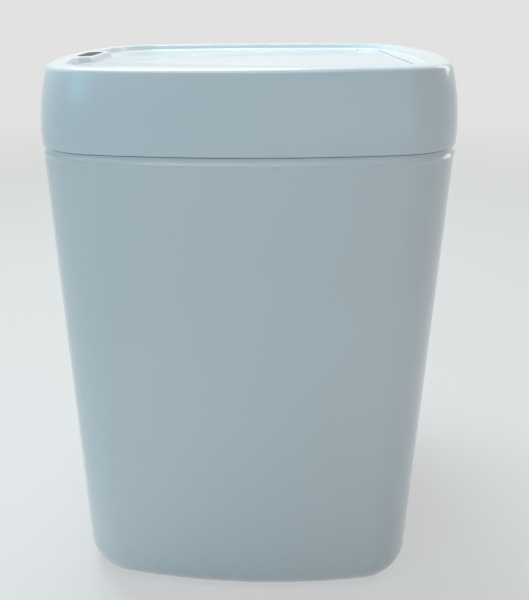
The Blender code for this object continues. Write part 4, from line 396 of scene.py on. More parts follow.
# The photograph's camera, in pixels and degrees, and its eye point in bin heights
FOCAL_PX = 739.175
FRAME_PX = (529.0, 600.0)
CENTRE_PX = (217.57, 226.13)
DOWN_DEG = 16.74
TURN_DEG = -3.47
ROLL_DEG = -0.62
SIDE_SHIFT = 0.0655 * HEIGHT
DISTANCE = 1.505 * HEIGHT
EYE_HEIGHT = 1.094 * HEIGHT
SENSOR_WIDTH_MM = 36.0

# The surround's colour to the eye, and its tint and strength as light on the object
SURROUND_COLOUR = (0.76, 0.76, 0.757)
SURROUND_TINT = (0.74, 0.90, 1.0)
SURROUND_STRENGTH = 0.158

# The share of the floor that glows, its reach, and how it fades into the surround with distance
FLOOR_GLOW_SHARE = 0.64
FLOOR_REACH = 40.0
FADE_START = 0.5
FADE_END = 2.2

# Each lamp's name, place, height that it points at, size, power in watts and colour
LAMPS = (
    ("key", (-0.30, 0.42, 1.55), 0.30, (0.8, 0.8), 20.5, (0.90, 1.0, 1.0)),
    ("brow", (-0.12, -0.80, 1.40), 0.30, (1.0, 0.10), 3.2, (0.84, 0.95, 1.0)),
    ("left", (-1.3, -1.0, 1.0), 0.2, (0.9, 0.9), 3.9, (0.20, 0.74, 1.0)),
    ("front", (0.8, -1.9, 0.45), 0.15, (1.4, 1.4), 1.7, (1.0, 0.96, 0.90)),
    ("rim", (1.5, 0.95, 1.0), 0.2, (0.5, 0.9), 3.4, (1.0, 1.0, 1.0)),
)

# How finely things are drawn: points on half a side, a corner and half a face, and on a path's curve
SIDE_POINTS = 22
CORNER_POINTS = 16
FACE_POINTS = 12
CURVE_STEPS = 24

# Finishing: points nearer than this become one, and edges sharper than these stay sharp
WELD_REACH = 0.000002
SHARP_DEG = 32.0
CRISP_DEG = 30
PAD_DEG = 35
SCREW_DEG = 40
COIL_DEG = 60

RIGHT_ANGLE = math.pi / 2
FULL_TURN = 2 * math.pi


def mix(first, second, share):
    """The value a share of the way from the first to the second."""
    return first + (second - first) * share


def steps(low, high, count):
    """Even steps from low to high, both included."""
    return np.linspace(low, high, count)


def quarter(count):
    """Angles over a quarter turn."""
    return steps(0.0, RIGHT_ANGLE, count)


def all_round(count):
    """Angles over a full turn, but for its last, which is its first."""
    return steps(0.0, FULL_TURN, count + 1)[:-1]


def on_circle(angle):
    """Points (cos a, sin a) of a circle of radius one."""
    return np.stack([np.cos(angle), np.sin(angle)], 1)


def quarter_round(radius, count):
    """Pairs round a quarter circle: drawn in by radius (1 - sin a), and raised by radius (1 - cos a)."""
    return [(radius * (1 - math.sin(a)), radius * (1 - math.cos(a))) for a in quarter(count)]


class Part:
    """A surface as arrays: points in rows of three, and faces as lists of their numbers."""

    def __init__(self, points, faces):
        self.points = np.asarray(points, float)
        self.faces = faces

    def moved(self, matrix):
        """The part after a 4 x 4 matrix: every point times its rotation, plus its shift."""
        turn = np.array(matrix.to_3x3())
        return Part(self.points @ turn.T + np.array(matrix.translation), self.faces)

    def volume(self):
        """The signed volume: the sum over the faces' triangles of the triple product, over six."""
        total = 0.0
        for face in self.faces:
            corner = self.points[face]
            first = corner[:1].repeat(len(face) - 2, 0)
            total += np.einsum("ij,ij->", np.cross(corner[1:-1], corner[2:]), first)
        return total / 6.0

    def outward(self):
        """The part with its faces pointing out, judged by the sign of its volume."""
        if self.volume() < 0:
            return Part(self.points, [face[::-1] for face in self.faces])
        return self


def woven(rows, around=True, ends="capped"):
    """A surface through a grid of points: row i, column j joins its neighbours in a quad.

    Columns close into a ring when around is true. ends is capped, looped (last row meets the first) or open.
    """
    rows = np.asarray(rows, float)
    height, width = rows.shape[:2]
    number = np.arange(height * width).reshape(height, width)
    across = np.roll(number, -1, 1) if around else number[:, 1:]
    here = number if around else number[:, :-1]
    low, low_next, high, high_next = here[:-1], across[:-1], here[1:], across[1:]
    if ends == "looped":
        low, low_next = here, across
        high, high_next = np.roll(here, -1, 0), np.roll(across, -1, 0)
    quads = np.stack([low, low_next, high_next, high], -1).reshape(-1, 4).tolist()
    if ends == "capped":
        quads.append(number[0][::-1].tolist())
        quads.append(number[-1].tolist())
    part = Part(rows.reshape(-1, 3), quads)
    return part if ends == "open" else part.outward()


def joined(parts):
    """Several parts as one: each one's face numbers are raised by the points before it."""
    points, faces, start = [], [], 0
    for part in parts:
        points.append(part.points)
        faces += [[number + start for number in face] for face in part.faces]
        start += len(part.points)
    return Part(np.concatenate(points), faces)


def piece(name, parts, material, body, smooth_deg=SHARP_DEG, stands_for=()):
    """A finished piece at the origin that rides on a body and takes a slot's finish."""
    whole = joined(parts) if isinstance(parts, list) else parts
    mesh = bpy.data.meshes.new(name)
    mesh.from_pydata(whole.points.tolist(), [], whole.faces)
    mesh.materials.append(material)
    mesh.validate()
    mesh.shade_smooth()
    mesh.set_sharp_from_angle(angle=math.radians(smooth_deg))
    obj = bpy.data.objects.new(name, mesh)
    bpy.context.scene.collection.objects.link(obj)
    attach(obj, body)
    if stands_for:
        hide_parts(*stands_for)
    return obj


def turned(profile, segments=48):
    """A turned solid about Z: each (radius, height) of the profile becomes a ring of points."""
    profile = np.array(profile, float)
    ring = on_circle(all_round(segments))
    heights = np.repeat(profile[:, None, 1:], segments, 1)
    return woven(np.concatenate([profile[:, None, :1] * ring[None], heights], 2))


def pipe(path, radius, sides=16):
    """A tube along a path: at each point a circle of the radius, square to the tangent.

    It is kept from twisting by carrying the first normal along and taking off its part along each new
    tangent.
    """
    path = np.asarray(path, float)
    tangent = np.gradient(path, axis=0)
    tangent /= np.linalg.norm(tangent, axis=1)[:, None]
    normal = np.cross(tangent[0], [0.31, 0.52, 0.79])
    normals = []
    for along in tangent:
        normal = normal - along * normal.dot(along)
        normal = normal / np.linalg.norm(normal)
        normals.append(normal)
    normals = np.array(normals)
    sideways = np.cross(tangent, normals)
    angle = all_round(sides)
    rows = (
        path[:, None]
        + radius * np.cos(angle)[None, :, None] * normals[:, None]
        + radius * np.sin(angle)[None, :, None] * sideways[:, None]
    )
    return woven(rows)


def smooth_path(places, count):
    """A Catmull-Rom curve through the places, read at even steps of its length."""
    places = np.asarray(places, float)
    ends = np.vstack([2 * places[0] - places[1], places, 2 * places[-1] - places[-2]])
    share = steps(0.0, 1.0, CURVE_STEPS + 1)[:-1, None]
    runs = []
    for a, b, c, d in zip(ends, ends[1:], ends[2:], ends[3:]):
        square = (2 * a - 5 * b + 4 * c - d) * share**2
        cube = (3 * b - a - 3 * c + d) * share**3
        runs.append(0.5 * (2 * b + (c - a) * share + square + cube))
    fine = np.vstack(runs + [places[-1:]])
    length = np.concatenate([[0.0], np.cumsum(np.linalg.norm(np.diff(fine, axis=0), axis=1))])
    wanted = steps(0.0, length[-1], count)
    return np.stack([np.interp(wanted, length, fine[:, axis]) for axis in range(3)], 1)


def rounded_outline(half_x, half_y, corner, per_corner=6):
    """A rectangle with quarter-circle corners, anticlockwise, as (x, y) points."""
    angle = quarter(per_corner + 1)
    arcs = []
    for turn, (sx, sy) in enumerate(((1, 1), (-1, 1), (-1, -1), (1, -1))):
        centre = np.array([sx * (half_x - corner), sy * (half_y - corner)])
        arcs.append(centre + corner * on_circle(angle + turn * RIGHT_ANGLE))
    return np.concatenate(arcs)


def block(low, high, corner, edge, per_corner=6):
    """A moulded block between two corners: a rounded outline, drawn in by a quarter round at both ends."""
    low, high = np.array(low, float), np.array(high, float)
    half = (high - low) / 2
    middle = (high + low) / 2
    rounds = quarter_round(edge, 4)
    rings = [(drawn, low[2] + rise) for drawn, rise in rounds]
    rings += [(rise, high[2] - drawn) for drawn, rise in rounds]
    rows = []
    for inset, height in rings:
        outline = rounded_outline(half[0] - inset, half[1] - inset, max(corner - inset, edge / 4), per_corner)
        rows.append(raised(outline + middle[:2], height))
    return woven(rows)


def bowed(half_x, half_y, corner, inset=0.0):
    """The bin's plan: each quarter is half a bowed side, a corner arc and half a bowed face, all tangent.

    The corner's centre lies where the two circles of radius (bow - corner) about the side's and the
    face's own centres meet. An inset shortens every radius alike, so two outlines stay parallel.
    """
    face_r, side_r = FACE_BOW - inset, SIDE_BOW - inset
    half_x, half_y, corner = half_x - inset, half_y - inset, corner - inset
    face_c = np.array([0.0, half_y - face_r])
    side_c = np.array([half_x - side_r, 0.0])
    apart = side_c - face_c
    distance = np.hypot(*apart)
    along = (distance**2 + (face_r - corner) ** 2 - (side_r - corner) ** 2) / (2 * distance)
    across = math.sqrt((face_r - corner) ** 2 - along**2)
    unit = apart / distance
    normal = np.array([-unit[1], unit[0]])
    meetings = [face_c + along * unit + sign * across * normal for sign in (1, -1)]
    corner_c = max(meetings, key=lambda centre: centre[0] + centre[1])
    side_end = math.atan2(*(corner_c - side_c)[::-1])
    face_end = math.atan2(*(corner_c - face_c)[::-1])
    runs = (
        (side_c, side_r, steps(0.0, side_end, SIDE_POINTS + 1)),
        (corner_c, corner, steps(side_end, face_end, CORNER_POINTS + 1)[1:]),
        (face_c, face_r, steps(face_end, RIGHT_ANGLE, FACE_POINTS + 1)[1:]),
    )
    first = np.concatenate([c + r * on_circle(a) for c, r, a in runs])
    half = np.concatenate([first, (first * [-1, 1])[::-1][1:]])
    return np.concatenate([half, (half * [1, -1])[::-1][1:-1]])


def raised(plan, height):
    """A plan's (x, y) points at one height."""
    return np.column_stack([plan, np.full(len(plan), height)])


def half_y_of(half_x):
    """The half width in Y that goes with one in X: both shrink alike from the widest place."""
    return WIDEST_HALF_Y - (WIDEST_HALF_X - half_x)


def body_ring(height, inset=0.0):
    """The body's outline: half widths and corner grow in step with the height up to the shoulder."""
    share = min(height / SHOULDER_Z, 1.0)
    half_x = mix(BASE_HALF_X, SHOULDER_HALF_X, share)
    corner = mix(BASE_CORNER, SHOULDER_CORNER, share)
    return raised(bowed(half_x, half_y_of(half_x), corner, inset), height)


def foot_rings(fillet, low, inset, count):
    """Rings up the foot's quarter round, from its low end, and drawn in by the inset too."""
    return [body_ring(low + rise, inset + drawn) for drawn, rise in quarter_round(fillet, count)]


def barrel_half_x(height):
    """The head's half width: widest low down, a parabola in from there to its top and to its lower edge."""
    if height < WIDEST_Z:
        share = (WIDEST_Z - height) / (WIDEST_Z - HEAD_LOW)
        return WIDEST_HALF_X - (WIDEST_HALF_X - HEAD_LOW_HALF_X) * share**2
    share = (height - WIDEST_Z) / (HEIGHT - WIDEST_Z)
    return WIDEST_HALF_X - (WIDEST_HALF_X - TOP_HALF_X) * share**2


def head_ring(height, inset=0.0, plan_height=None):
    """The head's outline at a height, or the outline of another height, the plan's, set at this one."""
    level = height if plan_height is None else plan_height
    half_x = barrel_half_x(level)
    corner = mix(SHOULDER_CORNER, TOP_CORNER, (level - HEAD_LOW) / (HEIGHT - HEAD_LOW))
    return raised(bowed(half_x, half_y_of(half_x), corner, inset), height)


def recess_ring(height, outset, rear_limit=None, grown=0.0):
    """The recess in the top. The rim reaches inwards for the sensor along half a cosine wave.

    With a rear_limit the outline is cut straight behind, with a step at both rear corners, as the flap's
    well is. The points on both sides of a step keep the Y at which the plain outline crosses it.
    """
    ring = raised(bowed(RECESS_HALF_X, RECESS_HALF_Y, RECESS_CORNER, -outset), height)
    front = ring[:, 0] < 0
    share = np.clip((np.abs(ring[front, 1]) - POD_FLAT) / (POD_HALF - POD_FLAT), 0.0, 1.0)
    ring[front, 0] += POD_REACH * (0.5 + 0.5 * np.cos(np.pi * share))
    if rear_limit is None:
        return ring
    wing = HINGE_X - WING_STEP + grown
    behind = ring[:, 0] > wing
    between = behind & (np.abs(ring[:, 1]) < WING_Y)
    crossings = {}
    for step in (-1, 1):
        for place in np.flatnonzero(behind & ~np.roll(behind, step)):
            ahead = (place - step) % len(ring)
            share = (wing - ring[ahead, 0]) / (ring[place, 0] - ring[ahead, 0])
            crossings[place] = mix(ring[ahead, 1], ring[place, 1], share)
    ring[between, 0] = np.minimum(ring[between, 0], rear_limit)
    ring[behind & ~between, 0] = wing
    for sign in (-1, 1):
        reach = ring[:, 1] * sign
        inside = np.where(between, reach, -WING_Y).argmax()
        outside = np.where(behind & ~between & (reach > 0), reach, WING_Y * 2).argmin()
        ring[[inside, outside], 1] = sign * (WING_Y + grown)
    for place, across in crossings.items():
        ring[place, 1] = across
    return ring


def barrel_limit(height, radius):
    """The rear face at a height of a barrel about the hinge: a circle's x for its z."""
    return HINGE_X + math.sqrt(max(radius**2 - (height - HINGE_Z) ** 2, 0.0))


def throat_ring(height, outset=0.0):
    """The throat's outline at a height, grown by an outset."""
    plan = bowed((THROAT_REAR - THROAT_FRONT) / 2, THROAT_HALF_Y, THROAT_CORNER, -outset)
    return raised(plan + [(THROAT_REAR + THROAT_FRONT) / 2, 0.0], height)


class Flow:
    """A socket or number in one material's nodes. Operators on it add Math nodes."""

    def __init__(self, nodes, socket):
        self.nodes = nodes
        self.socket = socket

    def maths(self, operation, *values):
        return self.nodes.add("ShaderNodeMath", {"operation": operation}, *values)

    def __add__(self, other):
        return self.maths("ADD", self, other)

    def __sub__(self, other):
        return self.maths("SUBTRACT", self, other)

    def __rsub__(self, other):
        return self.maths("SUBTRACT", other, self)

    def __mul__(self, other):
        return self.maths("MULTIPLY", self, other)

    def __pow__(self, other):
        return self.maths("POWER", self, other)

    __radd__ = __add__
    __rmul__ = __mul__

    def sine(self):
        return self.maths("SINE", self)

    def step(self, low, high):
        """Nought below low, one above high and a smooth rise between."""
        settings = {"interpolation_type": "SMOOTHSTEP"}
        return self.nodes.add("ShaderNodeMapRange", settings, self, low, high, 0.0, 1.0)


class Finish:
    """A material and the nodes that it is made of."""

    def __init__(self, name):
        self.material = bpy.data.materials.new(name)
        self.material.use_nodes = True
        self.tree = self.material.node_tree
        self.shader = self.tree.nodes["Principled BSDF"]
        self.place = self.add("ShaderNodeTexCoord", {}, out="Object")

    def add(self, kind, settings, *values, out=0, **named):
        """A node of a kind: its settings first, then values or links into its inputs in order or by name."""
        node = self.tree.nodes.new(kind)
        for key, value in settings.items():
            setattr(node, key, value)
        for slot, value in list(enumerate(values)) + list(named.items()):
            self.feed(node.inputs[slot], value)
        return Flow(self, node.outputs[out])

    def feed(self, slot, value):
        """A link where the value is a Flow, and otherwise the socket's own value."""
        if isinstance(value, Flow):
            self.tree.links.new(value.socket, slot)
        elif slot.type == "RGBA" and len(value) == 3:
            slot.default_value = (*value, 1.0)
        else:
            slot.default_value = value

    def set(self, **values):
        """Values or links into the shader's own sockets, with _ for a space in a name."""
        for key, value in values.items():
            self.feed(self.shader.inputs[key.replace("_", " ")], value)
        return self

    def noise(self, scale, detail=3.0, rough=0.5, stretch=None, warp=0.0):
        """Noise over the object's own coordinates, which a stretch packs closer along an axis."""
        place = self.place
        if stretch:
            place = self.add("ShaderNodeMapping", {}, place, Scale=stretch)
        named = {"Vector": place, "Scale": scale, "Detail": detail, "Roughness": rough, "Distortion": warp}
        return self.add("ShaderNodeTexNoise", {}, **named)

    def cells(self, scale):
        """The distance to the nearest of many scattered points, as many to a metre as the scale."""
        settings = {"feature": "F1"}
        return self.add("ShaderNodeTexVoronoi", settings, Vector=self.place, Scale=scale, out="Distance")

    def axes(self):
        """The three parts of the object's own coordinates."""
        split = self.tree.nodes.new("ShaderNodeSeparateXYZ")
        self.feed(split.inputs[0], self.place)
        return [Flow(self, out) for out in split.outputs]

    def blend(self, share, first, second):
        """A colour between two, by a share."""
        node = self.tree.nodes.new("ShaderNodeMix")
        node.data_type = "RGBA"
        self.feed(node.inputs["Factor"], share)
        colours = [socket for socket in node.inputs if socket.type == "RGBA"]
        self.feed(colours[0], first)
        self.feed(colours[1], second)
        return Flow(self, next(out for out in node.outputs if out.type == "RGBA"))

    def bump(self, height, depth, over=None):
        """A surface normal from a height of nought to one that stands for a depth in metres."""
        named = {"Height": height, "Strength": 1.0, "Distance": depth}
        if over is not None:
            named["Normal"] = over
        return self.add("ShaderNodeBump", {}, **named)


def moulded_white(name, colour, rough, grain, foot_soil=0.0):
    """Satin white moulding: a fine even texture, faint flow marks, slight haze and small scuffs.

    The base colour goes from the colour to a warmer one where the haze is thick. Foot soil darkens the
    lowest few centimetres in patches.
    """
    warm_tint, soil_colour = (0.985, 0.985, 0.975), (0.45, 0.42, 0.38)
    soil_low, soil_high = 0.004, 0.05
    ripple_depth = 0.00012
    finish = Finish(name)
    haze = finish.noise(9.0, 4.0, 0.55)
    scuff = finish.noise(70.0, 6.0, 0.62, stretch=(1.0, 1.0, 7.0), warp=0.3).step(0.66, 0.74)
    warm = [channel * tint for channel, tint in zip(colour, warm_tint)]
    base = finish.blend(haze.step(0.35, 0.7), colour, warm)
    if foot_soil:
        height = finish.axes()[2]
        patches = finish.noise(120.0, 5.0, 0.6).step(0.35, 0.8)
        soil = (1 - height.step(soil_low, soil_high)) * foot_soil * patches
        base = finish.blend(soil, base, soil_colour)
    gloss = rough + 0.05 * haze + 0.10 * scuff + 0.03 * finish.noise(600.0, 2.0)
    relief = finish.bump(finish.cells(1500.0), grain)
    relief = finish.bump(finish.noise(26.0, 2.0, 0.4), ripple_depth, relief)
    finish.set(Base_Color=base, Roughness=gloss, Normal=relief, IOR=1.49)
    finish.set(Coat_Weight=0.8, Coat_Roughness=0.10)
    return finish.material


def moulded_matt(name, colour, rough=0.5):
    """Matt inner moulding: spark-eroded grain, light dust and rub marks."""
    grain_depth, dust_tint = 0.00004, 0.94
    finish = Finish(name)
    grain = finish.noise(2400.0, 3.0, 0.6)
    dust = finish.noise(40.0, 5.0, 0.6).step(0.45, 0.75)
    base = finish.blend(dust, colour, [channel * dust_tint for channel in colour])
    relief = finish.bump(grain, grain_depth)
    finish.set(Base_Color=base, Roughness=rough + 0.08 * dust, Normal=relief, IOR=1.5)
    return finish.material


def plated_steel(name, colour=(0.62, 0.62, 0.63), rough=0.26):
    """Bright plated metal: fine turning lines, and a little tarnish that is duller and warmer."""
    line_depth, tarnish_tint = 0.00001, (0.86, 0.82, 0.74)
    finish = Finish(name)
    lines = finish.noise(900.0, 3.0, 0.6, stretch=(1.0, 1.0, 0.08))
    tarnish = finish.noise(160.0, 4.0, 0.6)
    dull = [channel * tint for channel, tint in zip(colour, tarnish_tint)]
    base = finish.blend(tarnish.step(0.45, 0.8), colour, dull)
    gloss = rough + 0.12 * tarnish.step(0.4, 0.8) + 0.06 * lines
    finish.set(Base_Color=base, Metallic=1.0, Roughness=gloss, Normal=finish.bump(lines, line_depth))
    return finish.material


def dark_window(name):
    """Deep tinted acrylic: near black, with a soft gloss and a trace of wipe marks."""
    finish = Finish(name)
    wipe = finish.noise(180.0, 4.0, 0.6, stretch=(3.0, 0.4, 1.0)).step(0.5, 0.8)
    finish.set(Base_Color=(0.040, 0.055, 0.060), Roughness=0.30 + 0.10 * wipe)
    finish.set(IOR=1.49, Specular_IOR_Level=0.02)
    return finish.material


def soft_rubber(name, colour=(0.16, 0.16, 0.165)):
    """Dark rubber: dull, finely pitted, with a paler bloom in patches."""
    pit_depth, bloom_gain = 0.00005, 1.5
    finish = Finish(name)
    bloom = finish.noise(300.0, 4.0, 0.6)
    base = finish.blend(bloom.step(0.4, 0.8), colour, [channel * bloom_gain for channel in colour])
    relief = finish.bump(finish.noise(3000.0), pit_depth)
    finish.set(Base_Color=base, Roughness=0.78 + 0.12 * bloom, Normal=relief)
    return finish.material


def nylon(name, colour=(0.80, 0.79, 0.74)):
    """Moulded nylon: slightly waxy and warm, with grease darkening where the noise is high."""
    grease_colour, grease_share, grain_depth = (0.62, 0.58, 0.46), 0.35, 0.00003
    finish = Finish(name)
    film = finish.noise(260.0, 4.0, 0.6).step(0.5, 0.72)
    base = finish.blend(film * grease_share, colour, grease_colour)
    relief = finish.bump(finish.noise(1800.0), grain_depth)
    finish.set(Base_Color=base, Roughness=0.46 - 0.18 * film, Normal=relief)
    return finish.material


def circuit_board(name):
    """Green solder resist over copper, with straight tracks as two crossed band patterns and via dots.

    A band is one where (sin(k x) + 1) / 2 is high. Coarse noise chooses whether the bands of x or y show.
    """
    resist, copper, tin = (0.010, 0.085, 0.040), (0.022, 0.150, 0.070), (0.55, 0.50, 0.36)
    radians_per_metre, track_depth = 2600.0, 0.00004
    finish = Finish(name)
    x, y = finish.axes()[:2]
    lane = finish.noise(90.0, 0.0).step(0.48, 0.50)
    band_x, band_y = (((axis * radians_per_metre).sine() * 0.5 + 0.5).step(0.55, 0.62) for axis in (x, y))
    track = band_x * lane + band_y * (1 - lane)
    via = 1 - finish.cells(420.0).step(0.10, 0.14)
    base = finish.blend(via, finish.blend(track, resist, copper), tin)
    relief = finish.bump(track, track_depth)
    finish.set(Base_Color=base, Roughness=0.30 + 0.15 * track, Normal=relief, IOR=1.5)
    return finish.material


def cell_jacket(name):
    """A plain dry cell's sleeve: dark shrink film, faintly mottled along the cell, no print on it."""
    low, high, film_depth = (0.055, 0.060, 0.070), (0.075, 0.080, 0.092), 0.00004
    finish = Finish(name)
    shrink = finish.noise(500.0, 3.0, 0.5, stretch=(1.0, 0.15, 1.0))
    relief = finish.bump(shrink, film_depth)
    finish.set(Base_Color=finish.blend(shrink, low, high), Roughness=0.24 + 0.08 * shrink, Normal=relief)
    finish.set(Coat_Weight=0.4)
    return finish.material


def clear_resin(name, colour):
    """Cast resin of a lamp's case: polished, its colour a tenth darker in faint swirls."""
    finish = Finish(name)
    swirl = finish.noise(900.0, 2.0)
    base = finish.blend(swirl, colour, [channel * 0.9 for channel in colour])
    finish.set(Base_Color=base, Roughness=0.06 + 0.05 * swirl, Coat_Weight=0.5, IOR=1.54)
    return finish.material


def plain_finish(name, colour, rough):
    """A wire's or small part's finish: its colour varied a little, a fine grain and uneven gloss."""
    grain_depth, dark_tint = 0.00002, 0.88
    finish = Finish(name)
    grains = finish.noise(1500.0, 3.0, 0.6)
    base = finish.blend(grains, colour, [channel * dark_tint for channel in colour])
    relief = finish.bump(grains, grain_depth)
    finish.set(Base_Color=base, Roughness=rough + 0.08 * grains, Normal=relief)
    return finish.material


WHITE_HEAD = moulded_white("white_head", (0.80, 0.845, 0.875), 0.27, 0.000010)
WHITE_BODY = moulded_white("white_body", (0.80, 0.822, 0.842), 0.31, 0.000014, foot_soil=0.12)
INNER = moulded_matt("inner_grey", (0.66, 0.68, 0.70))
WINDOW = dark_window("window_black")
RUBBER = soft_rubber("foot_rubber")
NYLON = nylon("gear_nylon")
STEEL = plated_steel("plated_steel")
BRASS = plated_steel("machined_brass", (0.80, 0.60, 0.28), 0.24)
BOARD = circuit_board("board_green")
JACKET = cell_jacket("cell_jacket")
LENS_DARK = clear_resin("lens_violet", (0.10, 0.08, 0.16))
LENS_CLEAR = clear_resin("lens_clear", (0.72, 0.76, 0.84))
WIRE_BLACK = plain_finish("wire_black", (0.028, 0.028, 0.030), 0.42)
WIRE_GREY = plain_finish("wire_grey", (0.16, 0.16, 0.17), 0.42)

NODE_FINISH = {
    "bag_ring": INNER,
    "head_liner": INNER,
    "flap_inner": INNER,
    "gearbox_case": INNER,
    "gearbox_cover": INNER,
    "battery_holder": INNER,
    "battery_door": INNER,
    "sensor_window": WINDOW,
    "power_switch_knob": WINDOW,
    "foot_": RUBBER,
    "flap_buffer": RUBBER,
    "sector_gear": NYLON,
    "output_gear": NYLON,
    "idler_gear": NYLON,
    "motor_pinion": BRASS,
    "control_board": BOARD,
    "sensor_board": BOARD,
    "battery_cell": JACKET,
    "ir_emitter": LENS_DARK,
    "ir_receiver": LENS_DARK,
    "indicator_led": LENS_CLEAR,
    "sensor_lead": WIRE_BLACK,
    "motor_lead": WIRE_BLACK,
    "head_shell": WHITE_HEAD,
    "flap_outer": WHITE_HEAD,
    "bin_body": WHITE_BODY,
}


def dress_nodes():
    """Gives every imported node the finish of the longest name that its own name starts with, or steel."""
    for name, obj in NODES.items():
        fits = [key for key in NODE_FINISH if name.startswith(key)]
        material = NODE_FINISH[max(fits, key=len)] if fits else STEEL
        for place in obj.material_slots:
            place.material = material


def weld(mesh):
    """Merges points that fall together and takes out faces that have no area."""
    work = bmesh.new()
    work.from_mesh(mesh)
    bmesh.ops.remove_doubles(work, verts=work.verts, dist=WELD_REACH)
    bmesh.ops.dissolve_degenerate(work, edges=work.edges, dist=WELD_REACH)
    work.to_mesh(mesh)
    work.free()


def cut_out(obj, cutters, operation="DIFFERENCE"):
    """Takes cutters away from a piece, or adds them, with exact Booleans. The result becomes its mesh."""
    weld(obj.data)
    for cutter in cutters:
        mesh = bpy.data.meshes.new("cut")
        mesh.from_pydata(cutter.points.tolist(), [], cutter.faces)
        tool = bpy.data.objects.new("cut", mesh)
        bpy.context.scene.collection.objects.link(tool)
        modifier = obj.modifiers.new("cut", "BOOLEAN")
        modifier.operation = operation
        modifier.solver = "EXACT"
        modifier.object = tool
        bpy.context.view_layer.update()
        seen = obj.evaluated_get(bpy.context.evaluated_depsgraph_get())
        result = bpy.data.meshes.new_from_object(seen)
        obj.modifiers.remove(modifier)
        obj.data = result
        bpy.data.objects.remove(tool, do_unlink=True)
    weld(obj.data)
    obj.data.shade_smooth()
    obj.data.set_sharp_from_angle(angle=math.radians(SHARP_DEG))


def nodes_named(start):
    """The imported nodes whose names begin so."""
    return [name for name in NODES if name.startswith(start)]


def middle_of(node):
    """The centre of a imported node's box and half its size."""
    low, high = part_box(node)
    low, high = np.array(low), np.array(high)
    return (low + high) / 2, (high - low) / 2


def standing(x, y, z):
    """The matrix that stands a shape made about Z on a place."""
    return Matrix.Translation((x, y, z))


def lying(x, y, z, way=1):
    """The matrix that lays a shape's Z along Y, pointing up Y or, with way -1, down it."""
    return Matrix.Translation((x, y, z)) @ Matrix.Rotation(math.radians(-90 * way), 4, "X")


def hanging(x, y, z):
    """The matrix that turns a shape's Z downwards at a place."""
    return Matrix.Translation((x, y, z)) @ Matrix.Rotation(math.pi, 4, "X")


def cross(x, y, z):
    """The matrix that stands a flat shape up across Y: its X stays, its Y becomes Z."""
    return Matrix.Translation((x, y, z)) @ Matrix.Rotation(math.radians(90), 4, "X")


def along_x(x, y, z):
    """The matrix that lays a shape's Z along X."""
    return Matrix.Translation((x, y, z)) @ Matrix.Rotation(math.radians(90), 4, "Y")


def shrunk(ring, share):
    """A ring scaled in X and Y about its own centre."""
    centre = ring.mean(0)
    return centre + (ring - centre) * [share, share, 1.0]


def stadium(half_length, half_width, per_end=20):
    """A slot outline, long in Y: two half circles joined by straight sides."""
    reach = half_length - half_width
    angle = steps(0.0, math.pi, per_end + 1)
    top = np.stack([half_width * np.cos(angle), reach + half_width * np.sin(angle)], 1)
    return np.concatenate([top, -top])


def rounded_rod(radius, length, edge, segments=40):
    """A rod from nought up to its length, both ends rounded by quarter circles of the edge's radius."""
    lower = [(radius - drawn, rise) for drawn, rise in quarter_round(edge, 4)]
    upper = [(r, length - z) for r, z in lower[::-1]]
    return turned(lower + upper, segments)


def bored_post(radius, bore, low, high, draft=0.0004, edge=0.0003):
    """A screw post: outside tapering by the draft towards its open lower end, with a blind bore."""
    bore_top = low + BORE_DEPTH_SHARE * (high - low)
    profile = [
        (BORE_POLE_SHARE * bore, bore_top),
        (bore, bore_top),
        (bore, low + edge),
        (bore + edge, low),
        (radius - draft - edge, low),
        (radius - draft, low + edge),
        (radius, high),
    ]
    return turned(profile, 28)


def rib(start, end, low, high, thick=RIB_THICK, draft=0.00025):
    """An upright rib between two points: a wall with its lower edge thinned by the draft."""
    start, end = np.array(start, float), np.array(end, float)
    along = (end - start) / np.linalg.norm(end - start)
    side = np.array([-along[1], along[0]])
    rows = []
    for height, half in ((low, thick / 2 - draft), (high, thick / 2)):
        plan = np.array([start - side * half, end - side * half, end + side * half, start + side * half])
        rows.append(raised(plan, height))
    return woven(rows)


def drawn_in(outline, inset):
    """An anticlockwise outline moved inwards, each point along the normal to its two neighbours' line."""
    tangent = np.roll(outline, -1, 0) - np.roll(outline, 1, 0)
    tangent /= np.linalg.norm(tangent, axis=1)[:, None]
    return outline - inset * np.stack([tangent[:, 1], -tangent[:, 0]], 1)


def slab(outline, low, high, edge):
    """A plate of any outline from low to high, with both faces' edges rounded over a quarter turn."""
    outline = np.asarray(outline, float)
    rounds = quarter_round(edge, 4)
    rows = [raised(drawn_in(outline, drawn), low + rise) for drawn, rise in rounds]
    rows += [raised(drawn_in(outline, drawn), high - rise) for drawn, rise in rounds[::-1]]
    return woven(rows)


def round_outline(radius, count):
    """A circle's points."""
    return radius * on_circle(all_round(count))


def arc_points(radius, low_deg, high_deg, count):
    """Points of a circle's arc between two angles."""
    return radius * on_circle(np.radians(steps(low_deg, high_deg, count)))


def rod_between(radius, low, high, segments=24):
    """A plain round cutter or pin from one height to another."""
    return turned([(radius, low), (radius, high)], segments)


